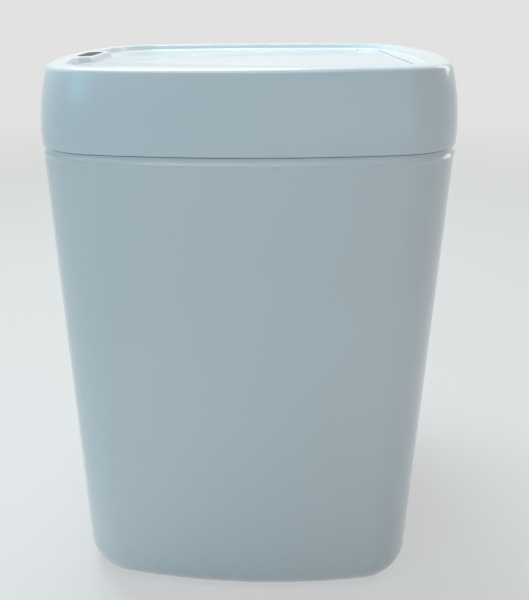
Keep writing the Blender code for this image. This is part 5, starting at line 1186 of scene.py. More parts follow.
def make_body_skin():
    """The outer bin: quarter-round foot, straight taper, a ridge that flares out of the neck, and the collar.

    The ridge comes out by 1 - cos a while it rises by sin a, and runs back to the neck by 1 - (1 - s)^2.
    Under the foot the base is hollowed a little.
    """
    floor = BASE_LIFT + BODY_WALL
    bead_low = SHOULDER_Z - BEAD_HEIGHT
    outer = foot_rings(BASE_FILLET, BASE_LIFT, 0.0, 14)
    outer += [body_ring(z) for z in steps(BASE_LIFT + BASE_FILLET, bead_low, 9)[1:]]
    crest = bead_low + RIDGE_RISE
    for a in quarter(5)[1:]:
        outer.append(body_ring(mix(bead_low, crest, math.sin(a)), -BEAD_PROUD * (1 - math.cos(a))))
    outer.append(body_ring(crest + BEAD_ROUND, -BEAD_PROUD))
    slope_top = crest + BEAD_ROUND + RIDGE_SLOPE
    for share in steps(0.0, 1.0, 12)[1:]:
        height = mix(crest + 1.5 * BEAD_ROUND, slope_top, share)
        outer.append(body_ring(height, mix(-BEAD_PROUD + BEAD_ROUND / 4, NECK_INSET, 1 - (1 - share) ** 2)))
    neck_top = NECK_Z - SEAM_DROP
    outer += [body_ring(neck_top, NECK_INSET), body_ring(neck_top, COLLAR_INSET)]
    outer += [body_ring(COLLAR_Z - EDGE / 2, COLLAR_INSET), body_ring(COLLAR_Z, COLLAR_INSET + EDGE / 2)]
    inside = COLLAR_INSET + BODY_WALL
    inner = [body_ring(COLLAR_Z, inside - EDGE / 2), body_ring(COLLAR_Z - EDGE / 2, inside)]
    inner += [body_ring(SHOULDER_Z, inside), body_ring(bead_low, BODY_WALL)]
    inner += [body_ring(z, BODY_WALL) for z in steps(bead_low, floor + BASE_FILLET - BODY_WALL, 9)[1:-1]]
    inner += foot_rings(BASE_FILLET - BODY_WALL, floor, BODY_WALL, 12)[::-1]
    inner.append(inner[-1] * [INNER_FLOOR_SHARE, INNER_FLOOR_SHARE, 1.0])
    start = outer[0]
    hollow = start * [HOLLOW_SHARES[0], HOLLOW_SHARES[0], 1.0] + [0, 0, HOLLOW_DEPTH]
    under = [hollow] + [start * [share, share, 1.0] for share in HOLLOW_SHARES[1:]]
    shape = woven(under + outer + inner)
    piece("body_skin", shape, WHITE_BODY, "bin", stands_for=["bin_body"])


def head_profile():
    """The head's section, carried round: wall, rounded edge, rim, recess, well, ledge, throat and inside."""
    top = HEIGHT - TOP_ROUND
    rings = []
    for a in LOW_EDGE_TURNS:
        rings.append(head_ring(HEAD_LOW + EDGE * (1 - math.sin(a)), EDGE * (1 - math.cos(a))))
    rings += [head_ring(z) for z in steps(HEAD_LOW + EDGE, top, 16)[1:]]
    for a in quarter(8)[1:]:
        rings.append(head_ring(top + TOP_ROUND * math.sin(a), TOP_ROUND * (1 - math.cos(a))))
    top_outset = RECESS_FILLET + RECESS_SLOPE
    for a in quarter(4):
        height = HEIGHT - EDGE / 2 * (1 - math.cos(a))
        rings.append(recess_ring(height, top_outset + EDGE * (1 - math.sin(a))))
    rings.append(recess_ring(FLOOR_Z + RECESS_FILLET, RECESS_FILLET))
    for a in quarter(5)[1:]:
        rings.append(recess_ring(FLOOR_Z + RECESS_FILLET * (1 - math.sin(a)), RECESS_FILLET * math.cos(a)))
    lip, well = BARREL + BARREL_GAP, BARREL + RUN_GAP
    rings.append(recess_ring(FLOOR_Z, -WELL_INSET, barrel_limit(FLOOR_Z, lip)))
    for z in steps(FLOOR_Z, HINGE_Z, 6)[1:]:
        rings.append(recess_ring(z, -WELL_INSET, barrel_limit(z, well)))
    rings.append(recess_ring(LEDGE_Z, -WELL_INSET, HINGE_X + well))
    rings += [throat_ring(LEDGE_Z - rise, drawn) for drawn, rise in quarter_round(THROAT_ROUND, 5)]
    ledge_low, deck_low, roof = LEDGE_Z - LEDGE_WALL, FLOOR_Z - LEDGE_WALL, HEIGHT - HEAD_WALL
    rings.append(throat_ring(THROAT_LOW))
    rings += [throat_ring(z, LEDGE_WALL) for z in (THROAT_LOW, ledge_low)]
    back, side = HINGE_X + well + LEDGE_WALL, LEDGE_WALL - WELL_INSET
    rings += [recess_ring(z, side, back, LEDGE_WALL) for z in (ledge_low, deck_low)]
    rings += [recess_ring(deck_low, LEDGE_WALL + top_outset / 2), recess_ring(roof, LEDGE_WALL + top_outset)]
    rings.append(head_ring(roof, HEAD_WALL + EDGE))
    rings += [head_ring(z, HEAD_WALL) for z in steps(mix(WIDEST_Z, top, 0.9), WIDEST_Z, 6)]
    rings.append(head_ring(HEAD_LOW, HEAD_WALL))
    return rings


def make_head_skin():
    """The head's casing, with the window's slot and the opening for the sector gear."""
    skin = piece("head_skin", woven(head_profile(), ends="looped"), WHITE_HEAD, "head")
    outline = stadium(WINDOW_HALF_LENGTH + FIT_GAP, WINDOW_HALF_WIDTH + FIT_GAP)
    slot = woven([raised(outline, z) for z in (HEIGHT - WINDOW_SLOT_DEPTH, HEIGHT + WINDOW_SLOT_OVER)])
    half = SECTOR_WIDTH / 2 + RUN_GAP
    low = (HINGE_X - SECTOR_OPENING, SECTOR_Y - half, LEDGE_Z - 2 * CUT_PAST)
    high = (HINGE_X + SECTOR_OPENING, SECTOR_Y + half, HINGE_Z + CUT_PAST)
    opening = block(low, high, corner=0.0004, edge=0.0002)
    cut_out(skin, [slot.moved(standing(WINDOW_X, 0.0, 0.0)), opening])
    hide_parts("head_shell")


def flap_ring(height, inset, rear):
    """The flap's outline at a height; low down its wings draw in, which clears the well as it turns."""
    drift = WING_DRIFT if height < mix(HINGE_Z, FLOOR_Z, DRIFT_TOP_SHARE) else 0.0
    return recess_ring(height, -WELL_INSET - RUN_GAP - inset, rear, -RUN_GAP - inset - drift)


def flap_notches():
    """Cutters that let the head's lugs and the sector gear through the flap's rear skirt and floor."""
    lug_half = LUG_WIDTH / 2 + RUN_GAP
    front = HINGE_X - LUG_LEG_WIDTH - LUG_LEG_CLEAR - RUN_GAP
    rear = HINGE_X + 2 * BARREL
    under = FLAP_LOW - CUT_PAST
    cuts = []
    for y in (-LUG_Y, LUG_Y):
        low, high = (front, y - lug_half, under), (rear, y + lug_half, HINGE_Z + RUN_GAP)
        cuts.append(block(low, high, corner=0.0005, edge=0.0002, per_corner=2))
    half = SECTOR_WIDTH / 2 + FIT_GAP
    low = (HINGE_X - 3 * SECTOR_MODULE, SECTOR_Y - half, under)
    high = (rear, SECTOR_Y + half, HINGE_Z + 2 * SECTOR_MODULE)
    return cuts + [block(low, high, corner=0.0004, edge=0.0002, per_corner=2)]


def make_flap_skin():
    """The flap's top: a flat panel with a soft edge, a skirt, and a barrel about the hinge along its rear."""
    inner_radius = BARREL - FLAP_WALL
    lowest = HINGE_Z - BARREL_LOW_SHARE * BARREL
    heights = steps(FLOOR_Z - FLAP_WALL, HINGE_Z - inner_radius, 9)
    inside = [flap_ring(z, FLAP_WALL, barrel_limit(z, inner_radius)) for z in heights]
    inside.append(flap_ring(FLAP_LOW, FLAP_WALL, HINGE_X - FLAP_WALL))
    outside = [flap_ring(FLAP_LOW, 0.0, HINGE_X)]
    panel_edge = FLOOR_Z - EDGE
    for z in steps(lowest, panel_edge, 14):
        outside.append(flap_ring(z, 0.0, barrel_limit(z, BARREL)))
    rear = barrel_limit(panel_edge, BARREL)
    for a in quarter(5)[1:]:
        inset = EDGE * (1 - math.cos(a))
        outside.append(flap_ring(FLOOR_Z - EDGE * (1 - math.sin(a)), inset, rear - inset))
    pole = [shrunk(inside[0], 0.0)]
    skin = piece("flap_skin", woven(pole + inside + outside), WHITE_HEAD, "flap")
    cut_out(skin, flap_notches())
    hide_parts("flap_outer")


def screw_shape(length, head_radius, segments=36):
    """A cross-headed self-tapping screw, its head's underside at nought and its shank up to its length.

    The thread is a helix: r(a, z) = taper * radius * (core + rise * w), where w is a clipped triangle wave of
    z / pitch - a / 2 pi, and the taper draws the tip in. The head is a dome, with a cross sunk where the
    distance from an arm's middle line, r min(|sin a|, |cos a|), is small.
    """
    angle = all_round(segments)
    circle = on_circle(angle)
    rings = []
    for z in steps(length, THREAD_START, int(length / THREAD_PITCH * RINGS_PER_TURN)):
        taper = min(1.0, (length - z) / TIP_LENGTH + TIP_SHARE)
        wave = np.abs(((z / THREAD_PITCH - angle / FULL_TURN) % 1.0) * 2 - 1)
        r = taper * SCREW_RADIUS * (CORE_SHARE + THREAD_SHARE * np.clip(wave * 2.2 - 1.0, 0.0, 1.0))
        rings.append((r, z))
    rings += [(SCREW_RADIUS * NECK_SHARE, 0.0), (head_radius - HEAD_EDGE, 0.0)]
    for share in DOME_SHARES:
        dome = -SCREW_HEAD_HEIGHT * (RIM_SHARE + CROWN_SHARE * math.sqrt(max(1.0 - share**2, 0.0)))
        r = head_radius * share
        arm = np.minimum(np.abs(np.sin(angle)), np.abs(np.cos(angle))) * r < head_radius * ARM_SHARE
        depth = SCREW_HEAD_HEIGHT * CROSS_DEPTH_SHARE * min(1.0, (CROSS_END_SHARE - share) * CROSS_STEEPNESS)
        rings.append((r, dome + (arm & (share < CROSS_SHARE)) * depth))
    spread = np.ones(segments)
    return woven([np.column_stack([circle * (r * spread)[:, None], z * spread]) for r, z in rings])


def make_screws():
    """Every screw as a threaded one in its packed place: up into its post, or along Y into the gearbox."""
    for name in [node for node in NODES if "_screw_" in node]:
        centre, half = middle_of(name)
        kind = name.rsplit("_", 1)[0]
        sideways = kind == "cover_screw"
        reach = half[1] if sideways else half[2]
        shape = screw_shape(2 * reach - SCREW_HEAD_HEIGHT, half[0] * SCREW_SHARE)
        if sideways:
            place = lying(centre[0], centre[1] + reach - SCREW_HEAD_HEIGHT, centre[2], -1)
        else:
            place = standing(centre[0], centre[1], centre[2] - reach + SCREW_HEAD_HEIGHT)
        body = "flap" if kind == "flap_screw" else "head"
        piece(f"{name}_cut", shape.moved(place), STEEL, body, SCREW_DEG, [name])


def make_feet():
    """Rubber feet: turned pads with a hollow middle, one groove round the sole and a soft edge."""
    edge, top_edge, pole = 0.0007, 0.0002, 0.0004
    for name in nodes_named("foot_"):
        centre, half = middle_of(name)
        r, top = half[0] * PAD_SHARE, 2 * half[2]
        sole = [(pole, SOLE_RINGS[0][1])] + [(r * share, height) for share, height in SOLE_RINGS]
        sole += [(r - edge, 0.0)] + [(r - drawn, rise) for drawn, rise in quarter_round(edge, 5)[1:]]
        sole += [(r, top - top_edge), (r - top_edge, top)]
        shape = turned(sole, 56).moved(standing(centre[0], centre[1], 0.0))
        piece(f"{name}_pad", shape, RUBBER, "bin", PAD_DEG, [name])


def make_window():
    """The sensor's window: a tinted lens with a rounded edge on a thin flange, its face slightly crowned."""
    edge, crown, flange, seat, step = 0.0006, 0.00012, 0.0005, 0.0013, 0.0002
    base_share, narrowing = 0.4, 0.15
    centre, half = middle_of("sensor_window")
    base, top = centre[2] - half[2], centre[2] + half[2]
    flanged = stadium(WINDOW_HALF_LENGTH + flange, WINDOW_HALF_WIDTH + flange)
    rows = [raised(flanged * base_share, base), raised(flanged, base), raised(flanged, base + seat - step)]
    rows.append(raised(stadium(WINDOW_HALF_LENGTH, WINDOW_HALF_WIDTH), base + seat))
    for a in quarter(6):
        inset = edge * (1 - math.cos(a))
        lip = stadium(WINDOW_HALF_LENGTH - inset, WINDOW_HALF_WIDTH - inset)
        rows.append(raised(lip, top - crown - edge * (1 - math.sin(a))))
    face = stadium(WINDOW_HALF_LENGTH - edge, WINDOW_HALF_WIDTH - edge)
    for share in (0.75, 0.5, 0.25, 0.04):
        rows.append(raised(face * [share, 1 - narrowing * (1 - share)], top - crown * share**2))
    shape = woven(rows).moved(standing(centre[0], 0.0, 0.0))
    piece("window_lens", shape, WINDOW, "head", CRISP_DEG, ["sensor_window"])


def make_hinge_rod():
    """The hinge rod: ground steel with chamfered ends and a groove near each for its clip."""
    centre, half = middle_of("hinge_rod")
    r, length = half[2] * ROD_SHARE, 2 * half[1]
    end = [(r - depth, height) for depth, height in ROD_END]
    profile = end + [(r, length / 2)] + [(radius, length - height) for radius, height in end[::-1]]
    shape = turned(profile, 32).moved(lying(centre[0], centre[1] - half[1], centre[2]))
    piece("hinge_rod_turned", shape, STEEL, "head", CRISP_DEG, ["hinge_rod"])


def make_springs():
    """Battery springs: coils of wire that narrow along their axis, with flat turns at both ends.

    The angle grows with the share s, the radius is (1 - narrowing s) of the first, and the rise waits at
    both ends of s.
    """
    wire, turns, narrowing, flat_share, rising_share = 0.00028, 4.5, 0.45, 0.08, 0.84
    share = steps(0.0, 1.0, 140)
    angle = FULL_TURN * turns * share
    lift = np.clip((share - flat_share) / rising_share, 0.0, 1.0)
    for name in nodes_named("contact_spring_"):
        centre, half = middle_of(name)
        way = 1 if centre[1] < SPRING_SIDE_Y else -1
        reach = half[1] - wire
        radius = (half[0] - wire) * (1 - narrowing * share)
        y = centre[1] - way * reach + way * 2 * reach * lift
        path = np.stack([centre[0] + radius * np.cos(angle), y, centre[2] + radius * np.sin(angle)], 1)
        piece(f"{name}_coil", pipe(path, wire, 10), STEEL, "head", COIL_DEG, [name])


def make_cells():
    """Dry cells: a sleeve with rolled shoulders and a crimp, a steel cap with its nipple and a steel base."""
    low_round, high_round, nipple = 0.0006, 0.0008, 0.0013
    for name in nodes_named("battery_cell_"):
        centre, half = middle_of(name)
        r, length = half[0] * PAD_SHARE, 2 * half[1]
        way = 1 if name.endswith("2") else -1
        place = lying(centre[0], centre[1] - way * half[1], centre[2], way)
        top = length - nipple
        sleeve = [(r - 0.0014, 0.0003), (r - 0.0009, 0.00005)]
        sleeve += [(r - drawn, rise) for drawn, rise in quarter_round(low_round, 5)]
        sleeve += [(r - depth, top - below) for depth, below in CELL_CRIMP]
        sleeve += [(r - rise, top - drawn) for drawn, rise in quarter_round(high_round, 5)]
        sleeve += [(r - 0.0013, top - 0.0001), (r - 0.0014, top - 0.0004)]
        cap = [(radius, top - below) for radius, below in CELL_CAP]
        cap += [(0.0027, length - 0.0003), (0.0024, length), (0.0003, length)]
        sleeve = turned(sleeve, 64).moved(place)
        piece(f"{name}_sleeve", sleeve, JACKET, "head", CRISP_DEG, [name])
        metal = [turned(cap, 40).moved(place), turned(CELL_BASE, 40).moved(place)]
        piece(f"{name}_ends", metal, STEEL, "head", CRISP_DEG)


def gusset(x, y, angle_deg):
    """A three-cornered web from a head post outwards: full width at its top, nothing at its foot."""
    root = POST_RADIUS - WEB_OVERLAP - WEB_DEPTH
    outline = [
        [POST_RADIUS - WEB_OVERLAP, POST_LOW + WEB_RISE],
        [POST_RADIUS + WEB_REACH, POST_TOP - WEB_LIP],
        [POST_RADIUS + WEB_REACH, POST_TOP],
        [root, POST_TOP],
        [root, POST_LOW + WEB_RISE],
    ]
    plate = slab(outline, -RIB_THICK / 2, RIB_THICK / 2, 0.0001)
    turn = Matrix.Rotation(math.radians(angle_deg), 4, "Z") @ Matrix.Rotation(math.radians(90), 4, "X")
    return plate.moved(turn).moved(standing(x, y, 0.0))


def hinge_bore():
    """The cutter that bores lugs and knuckles for the hinge rod."""
    bore = rod_between(ROD_RADIUS + ROD_GAP, -HINGE_BORE_REACH, HINGE_BORE_REACH, 40)
    return bore.moved(lying(HINGE_X, 0.0, HINGE_Z))


def make_hinge_lugs():
    """The head's two hinge lugs: round eyes on straight legs, bored for the rod."""
    leg_right, leg_left = -LUG_LEG_CLEAR, -LUG_LEG_CLEAR - LUG_LEG_WIDTH
    eye = arc_points(LUG_RADIUS, -90.0, 180.0, 40)
    outline = np.vstack([[[leg_right, -LUG_FOOT]], eye, [[leg_left, -LUG_LEG_CLEAR], [leg_left, -LUG_FOOT]]])
    plate = slab(outline, -LUG_WIDTH / 2, LUG_WIDTH / 2, 0.0003)
    plates = [plate.moved(cross(HINGE_X, y, HINGE_Z)) for y in (-LUG_Y, LUG_Y)]
    cut_out(piece("hinge_lugs", plates, WHITE_HEAD, "head"), [hinge_bore()])


def make_head_posts():
    """The head's tapered screw posts with webs, its boards' posts, and ribs under both long sides' rim."""
    parts = []
    for x, y in HEAD_SCREWS:
        parts.append(bored_post(POST_RADIUS, POST_BORE, POST_LOW, POST_TOP).moved(standing(x, y, 0.0)))
        turn = math.degrees(math.atan2(y, x))
        parts += [gusset(x, y, turn + extra) for extra in (90, 180, 270)]
    post = bored_post(SMALL_POST, POST_BORE, BOARD_TOP + FIT_GAP, POST_TOP, SMALL_DRAFT)
    parts += [post.moved(standing(BOARD_X, y, 0.0)) for y in BOARD_POST_YS]
    post = bored_post(SMALL_POST, SENSOR_BORE, SENSOR_TOP + FIT_GAP, HEIGHT - HEAD_WALL / 2, SMALL_DRAFT)
    for side in (-1, 1):
        parts.append(post.moved(standing(SENSOR_X, side * SENSOR_POST_Y, 0.0)))
        top = HEIGHT - HEAD_WALL + RIM_RIB_SINK
        for x in steps(-0.060, 0.060, 7):
            bow = x**2 / (2 * FACE_BOW)
            near = RECESS_HALF_Y + LEDGE_WALL - bow
            far = half_y_of(barrel_half_x(RIM_RIB_LOW)) - HEAD_WALL - bow + RIB_OVERLAP
            parts.append(rib((x, side * near), (x, side * far), RIM_RIB_LOW, top))
    piece("head_posts", parts, WHITE_HEAD, "head")


def make_flap_inside():
    """Bosses for the flap's four screws and a lattice of ribs under its panel."""
    top = FLOOR_Z - FLAP_WALL + RIB_OVERLAP
    boss = bored_post(SMALL_POST, POST_BORE, FLAP_LOW + FLAP_BOSS_LIFT, top, SMALL_DRAFT)
    parts = [boss.moved(standing(x, y, 0.0)) for x, y in FLAP_SCREWS]
    ends = [((-0.095, y), (0.086, y)) for y in (-0.096, -0.048, 0.020, 0.048, 0.096)]
    ends += [((x, -0.104), (x, 0.104)) for x in (-0.072, -0.035, 0.002, 0.039, 0.074)]
    parts += [rib(start, end, FLAP_RIB_LOW, top, FLAP_RIB_THICK) for start, end in ends]
    piece("flap_ribs", parts, WHITE_HEAD, "flap")


def tray_rows():
    """The tray's section, carried round: sunk field beneath, foot, outside, rim, and the floor inside."""
    gap, soft, lip = FLAP_WALL + FIT_GAP, 0.0004, 0.0003
    rear = HINGE_X - gap
    floor_top, rim_top = FLAP_LOW + TRAY_FLOOR, FLAP_LOW + TRAY_FLOOR + TRAY_RIM
    base = flap_ring(FLAP_LOW, gap, rear)
    sunk = base + [0.0, 0.0, FIELD_DEPTH]
    rows = [shrunk(sunk, share) for share in (0.0, 0.2, 0.5, 0.7, FIELD_SHARE - 0.008, FIELD_SHARE - 0.006)]
    rows += [shrunk(base, share) for share in (FIELD_SHARE, FIELD_SHARE + 0.002, 0.95)]
    rows += [flap_ring(FLAP_LOW + rise, gap + drawn, rear - drawn) for drawn, rise in quarter_round(soft, 4)]
    rear_top = rear - LUG_RADIUS / 2
    inside, inner = gap + FLAP_WALL, rear_top - FLAP_WALL
    rows += [
        flap_ring(floor_top, gap, rear),
        flap_ring(rim_top - lip, gap, rear_top + 0.0001),
        flap_ring(rim_top, gap + lip, rear_top - lip),
        flap_ring(rim_top, inside - lip, inner + lip),
        flap_ring(rim_top - lip, inside, inner),
        flap_ring(floor_top + soft, inside, inner),
        flap_ring(floor_top, inside + soft, inner - soft),
    ]
    return rows + [shrunk(rows[-1], share) for share in (0.8, 0.5, 0.2, 0.0)]


def make_flap_tray():
    """The flap's tray: a floor with a sunk field beneath, a low rim inside the skirt, and two knuckles."""
    tray = piece("flap_tray", woven(tray_rows()), INNER, "flap")
    foot = FLAP_LOW + TRAY_FLOOR / 2 - HINGE_Z
    eye = arc_points(LUG_RADIUS, -80.0, 120.0, 30)
    outline = np.vstack([[[-FLAP_WALL - FIT_GAP, foot]], eye, [[-KNUCKLE_LENGTH, foot]]])
    knuckle = slab(outline, -KNUCKLE_WIDTH / 2, KNUCKLE_WIDTH / 2, 0.0003)
    adders = [knuckle.moved(cross(HINGE_X, y, HINGE_Z)) for y in (-KNUCKLE_Y, KNUCKLE_Y)]
    pad = turned([(radius, FLAP_LOW + height) for radius, height in TRAY_PAD], 30)
    adders += [pad.moved(standing(x, y, 0.0)) for x, y in FLAP_SCREWS]
    cut_out(tray, adders, "UNION")
    floor_top, under = FLAP_LOW + TRAY_FLOOR, FLAP_LOW - CUT_PAST
    bore = rod_between(POST_BORE, under, floor_top + CUT_PAST)
    socket = rod_between(BUFFER_SOCKET, under, FLAP_LOW + BUFFER_SOCKET_DEPTH, 32)
    cuts = [hinge_bore()] + [bore.moved(standing(x, y, 0.0)) for x, y in FLAP_SCREWS]
    cuts += [socket.moved(standing(x, y, 0.0)) for x, y in BUFFER_PLACES]
    half = SECTOR_WIDTH / 2 + FIT_GAP
    low = (HINGE_X - SECTOR_SEAT, SECTOR_Y - half, floor_top - SINK)
    high = (HINGE_X, SECTOR_Y + half, SECTOR_SEAT_TOP)
    cuts.append(block(low, high, corner=0.0003, edge=0.0001, per_corner=2))
    cut_out(tray, cuts + flap_notches())
    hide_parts("flap_inner")


def make_buffers():
    """Rubber pads under the flap's front edge: turned buttons with a soft rim and a dished face."""
    face = [(radius, BUFFER_LOW + rise) for radius, rise in BUFFER_FACE]
    pad = turned(face + [(BUFFER_RADIUS, BUFFER_TOP), (0.0003, BUFFER_TOP)], 36)
    for side, (x, y) in zip(("left", "right"), BUFFER_PLACES):
        shape = pad.moved(standing(x, y, 0.0))
        piece(f"buffer_{side}", shape, RUBBER, "flap", PAD_DEG, [f"flap_buffer_{side}"])


def make_bag_ring():
    """The hoop that pins the bag: a flange with soft edges, a skirt with a round foot, two finger notches."""
    soft, turn = 0.0005, 0.0009
    rows = [body_ring(FLANGE_LOW + rise, FLANGE_INSET + drawn) for drawn, rise in quarter_round(soft, 4)]
    for a in steps(RIGHT_ANGLE, 0.0, 5):
        height = FLANGE_HIGH - soft * (1 - math.cos(a))
        rows.append(body_ring(height, FLANGE_INSET + soft * (1 - math.sin(a))))
    rows += [body_ring(FLANGE_HIGH - rise, SKIRT_IN - drawn) for drawn, rise in quarter_round(turn, 6)]
    rows += [body_ring(z, SKIRT_IN) for z in steps(FLANGE_HIGH - 0.0012, HOOP_LOW + soft, 6)]
    middle, half = (SKIRT_IN + SKIRT_OUT) / 2, (SKIRT_IN - SKIRT_OUT) / 2
    for a in steps(0.0, math.pi, 7):
        rows.append(body_ring(HOOP_LOW + soft * (1 - math.sin(a)), middle + half * math.cos(a)))
    rows += [body_ring(z, SKIRT_OUT) for z in steps(HOOP_LOW + soft, FLANGE_LOW - 0.0002, 6)[1:]]
    rows.append(body_ring(FLANGE_LOW, SKIRT_OUT - 0.0002))
    ring = piece("bag_ring_hoop", woven(rows, ends="looped"), INNER, "bag_ring")
    reach = half_y_of(SHOULDER_HALF_X)
    low, high = (-NOTCH_HALF, HOOP_LOW - 0.010, 0.0), (NOTCH_HALF, HOOP_LOW + NOTCH_RISE, reach)
    notch = block(low, high, corner=0.0035, edge=0.0001, per_corner=8)
    cut_out(ring, [notch.moved(cross(0.0, y, 0.0)) for y in (0.0, reach)])
    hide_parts("bag_ring")


def switch_slot(low, high, corner, per_corner):
    """The cutter for the slot that the switch's knob slides in."""
    x, y = SWITCH_MIDDLE
    start = (x + SWITCH_SLOT_LOW[0], y + SWITCH_SLOT_LOW[1], low)
    end = (x + SWITCH_SLOT_HIGH[0], y + SWITCH_SLOT_HIGH[1], high)
    return block(start, end, corner, 0.0001, per_corner)


def pan_outline(margin):
    """The pan's plan: straight in front, bowed behind as the head is, with soft corners, less a margin."""
    half_y, radius, corner = PAN_HALF_Y - margin, PAN_BOW - margin, 0.0014
    reach = math.degrees(math.asin(half_y / radius))
    rear = arc_points(radius, -reach, reach, 31) + [PAN_REAR_X - PAN_BOW, 0.0]
    front = PAN_FRONT_X + margin
    left = arc_points(corner, 90, 180, 5) + [front + corner, half_y - corner]
    right = arc_points(corner, 180, 270, 5) + [front + corner, -half_y + corner]
    return np.vstack([rear, left, right])


def liner_rows():
    """The liner plate's section, carried round between the head's wall and the throat's, edges rounded."""
    inset, outset, soft = HEAD_WALL + FIT_GAP, LEDGE_WALL + FIT_GAP, 0.0004
    rows = [head_ring(LINER_LOW + rise, inset + drawn, HEAD_LOW) for drawn, rise in quarter_round(soft, 4)]
    rows += [head_ring(LINER_HIGH - soft, inset, HEAD_LOW), head_ring(LINER_HIGH, inset + soft, HEAD_LOW)]
    rows += [throat_ring(LINER_HIGH, outset + soft), throat_ring(LINER_HIGH - soft, outset)]
    for a in steps(RIGHT_ANGLE, 0.0, 4):
        rows.append(throat_ring(LINER_LOW + soft * (1 - math.cos(a)), outset + soft * (1 - math.sin(a))))
    return rows


def door_hinge_bore():
    """The cutter that bores the battery door's ears and barrel for its pin."""
    return rod_between(DOOR_PIN_BORE, 0.060, 0.118, 20).moved(along_x(0.0, DOOR_LOW[1], DOOR_AXIS_Z))


def make_liner():
    """The head's underside: a plate round the throat, a pan for the drive and cells, ears and openings."""
    liner = piece("liner", woven(liner_rows(), ends="looped"), INNER, "head")
    boss = turned(LINER_BOSS, 36)
    pan = slab(pan_outline(0.0), PAN_LOW, LINER_HIGH - FIT_GAP, 0.0006)
    cut_out(liner, [pan] + [boss.moved(standing(x, y, 0.0)) for x, y in HEAD_SCREWS], "UNION")
    pan_under, pan_over = PAN_LOW - CUT_PAST, PAN_FLOOR_TOP + CUT_PAST
    low = (DOOR_LOW[0] - FIT_GAP, DOOR_LOW[1] - FIT_GAP - DOOR_BARREL, pan_under)
    high = (DOOR_HIGH[0] + FIT_GAP, DOOR_HIGH[1] + FIT_GAP, pan_over)
    cuts = [slab(pan_outline(PAN_WALL), PAN_FLOOR_TOP, LINER_HIGH + CUT_PAST, 0.0003)]
    cuts.append(block(low, high, corner=0.0006, edge=0.0001, per_corner=3))
    cuts.append(switch_slot(pan_under, pan_over, corner=0.0004, per_corner=3))
    recess = rod_between(LINER_BORE, LINER_LOW - 2 * CUT_PAST, LINER_LOW - 0.00005, 36)
    bore = rod_between(POST_BORE, LINER_LOW - 2 * CUT_PAST, LINER_HIGH + CUT_PAST)
    cuts += [cutter.moved(standing(x, y, 0.0)) for x, y in HEAD_SCREWS for cutter in (recess, bore)]
    cut_out(liner, cuts)
    ear = rounded_rod(EAR_RADIUS, EAR_LENGTH, 0.0003, 28)
    starts = (DOOR_LOW[0] - FIT_GAP - EAR_LENGTH, DOOR_HIGH[0] + FIT_GAP)
    cut_out(liner, [ear.moved(along_x(x, DOOR_LOW[1], DOOR_AXIS_Z)) for x in starts], "UNION")
    cut_out(liner, [door_hinge_bore()])
    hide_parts("head_liner")
    low, high = PAN_FLOOR_TOP - SINK, PAN_FLOOR_TOP + PAN_RIB_HEIGHT
    ribs = [rib((0.0632, y), (0.1180, y), low, high) for y in (-0.0735, 0.034, 0.058)]
    piece("pan_ribs", ribs, INNER, "head")


def make_battery_door():
    """The cells' door: a plate with a sunk field, a hinge barrel along one edge and three grip ridges."""
    low, high = np.array(DOOR_LOW), np.array(DOOR_HIGH)
    middle, half = (low + high) / 2, (high - low) / 2
    rings = [(inset, low[2] + rise) for inset, rise in DOOR_UNDERSIDE]
    rings += [(inset, low[2] + rise) for inset, rise in quarter_round(0.0003, 4)]
    rings += [(inset, high[2] - drop) for inset, drop in DOOR_TOPSIDE]
    rows = []
    for inset, height in rings:
        outline = rounded_outline(half[0] - inset, half[1] - inset, 0.0008) + middle[:2]
        rows.append(raised(outline, height))
    door = piece("door_panel", woven(rows), INNER, "battery_door")
    barrel = rounded_rod(DOOR_BARREL, 2 * half[0], 0.0002, 28).moved(along_x(low[0], low[1], DOOR_AXIS_Z))
    cut_out(door, [barrel], "UNION")
    cut_out(door, [door_hinge_bore()])
    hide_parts("battery_door")
    ridges = []
    for y in (-0.0070, -0.0064, -0.0058):
        start = (middle[0] - GRIP_HALF, y - GRIP_THICK / 2, GRIP_LOW)
        end = (middle[0] + GRIP_HALF, y + GRIP_THICK / 2, GRIP_HIGH)
        ridges.append(block(start, end, corner=0.00015, edge=0.0001, per_corner=2))
    piece("door_grip", ridges, INNER, "battery_door")
    centre, reach = middle_of("door_pin")
    pin = rounded_rod(reach[2] * PIN_SHARE, 2 * reach[0], 0.00015, 20)
    pin = pin.moved(along_x(centre[0] - reach[0], centre[1], centre[2]))
    piece("door_pin_turned", pin, STEEL, "head", PAD_DEG, ["door_pin"])


def make_holder():
    """The cells' bay: a box open below with soft edges, and a fin between each two cells."""
    centre, half = middle_of("battery_holder")
    low, high = centre - half, centre + half
    shape = block(low, high, corner=0.0012, edge=0.0005)
    holder = piece("holder_box", shape, INNER, "head")
    inner_low = (low[0] + CASE_WALL, low[1] + CASE_WALL, low[2] - CUT_PAST)
    cut_out(holder, [block(inner_low, high - CASE_WALL, corner=0.0006, edge=0.0004)])
    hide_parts("battery_holder")
    roof, end_gap = high[2] - CASE_WALL, 0.006
    fins = []
    for x in (0.081225, 0.095975):
        start, end = (x, low[1] + end_gap), (x, high[1] - end_gap)
        fins.append(rib(start, end, roof - 0.0040, roof + 0.0004, FLAP_RIB_THICK, SMALL_DRAFT))
    piece("holder_fins", fins, INNER, "head")


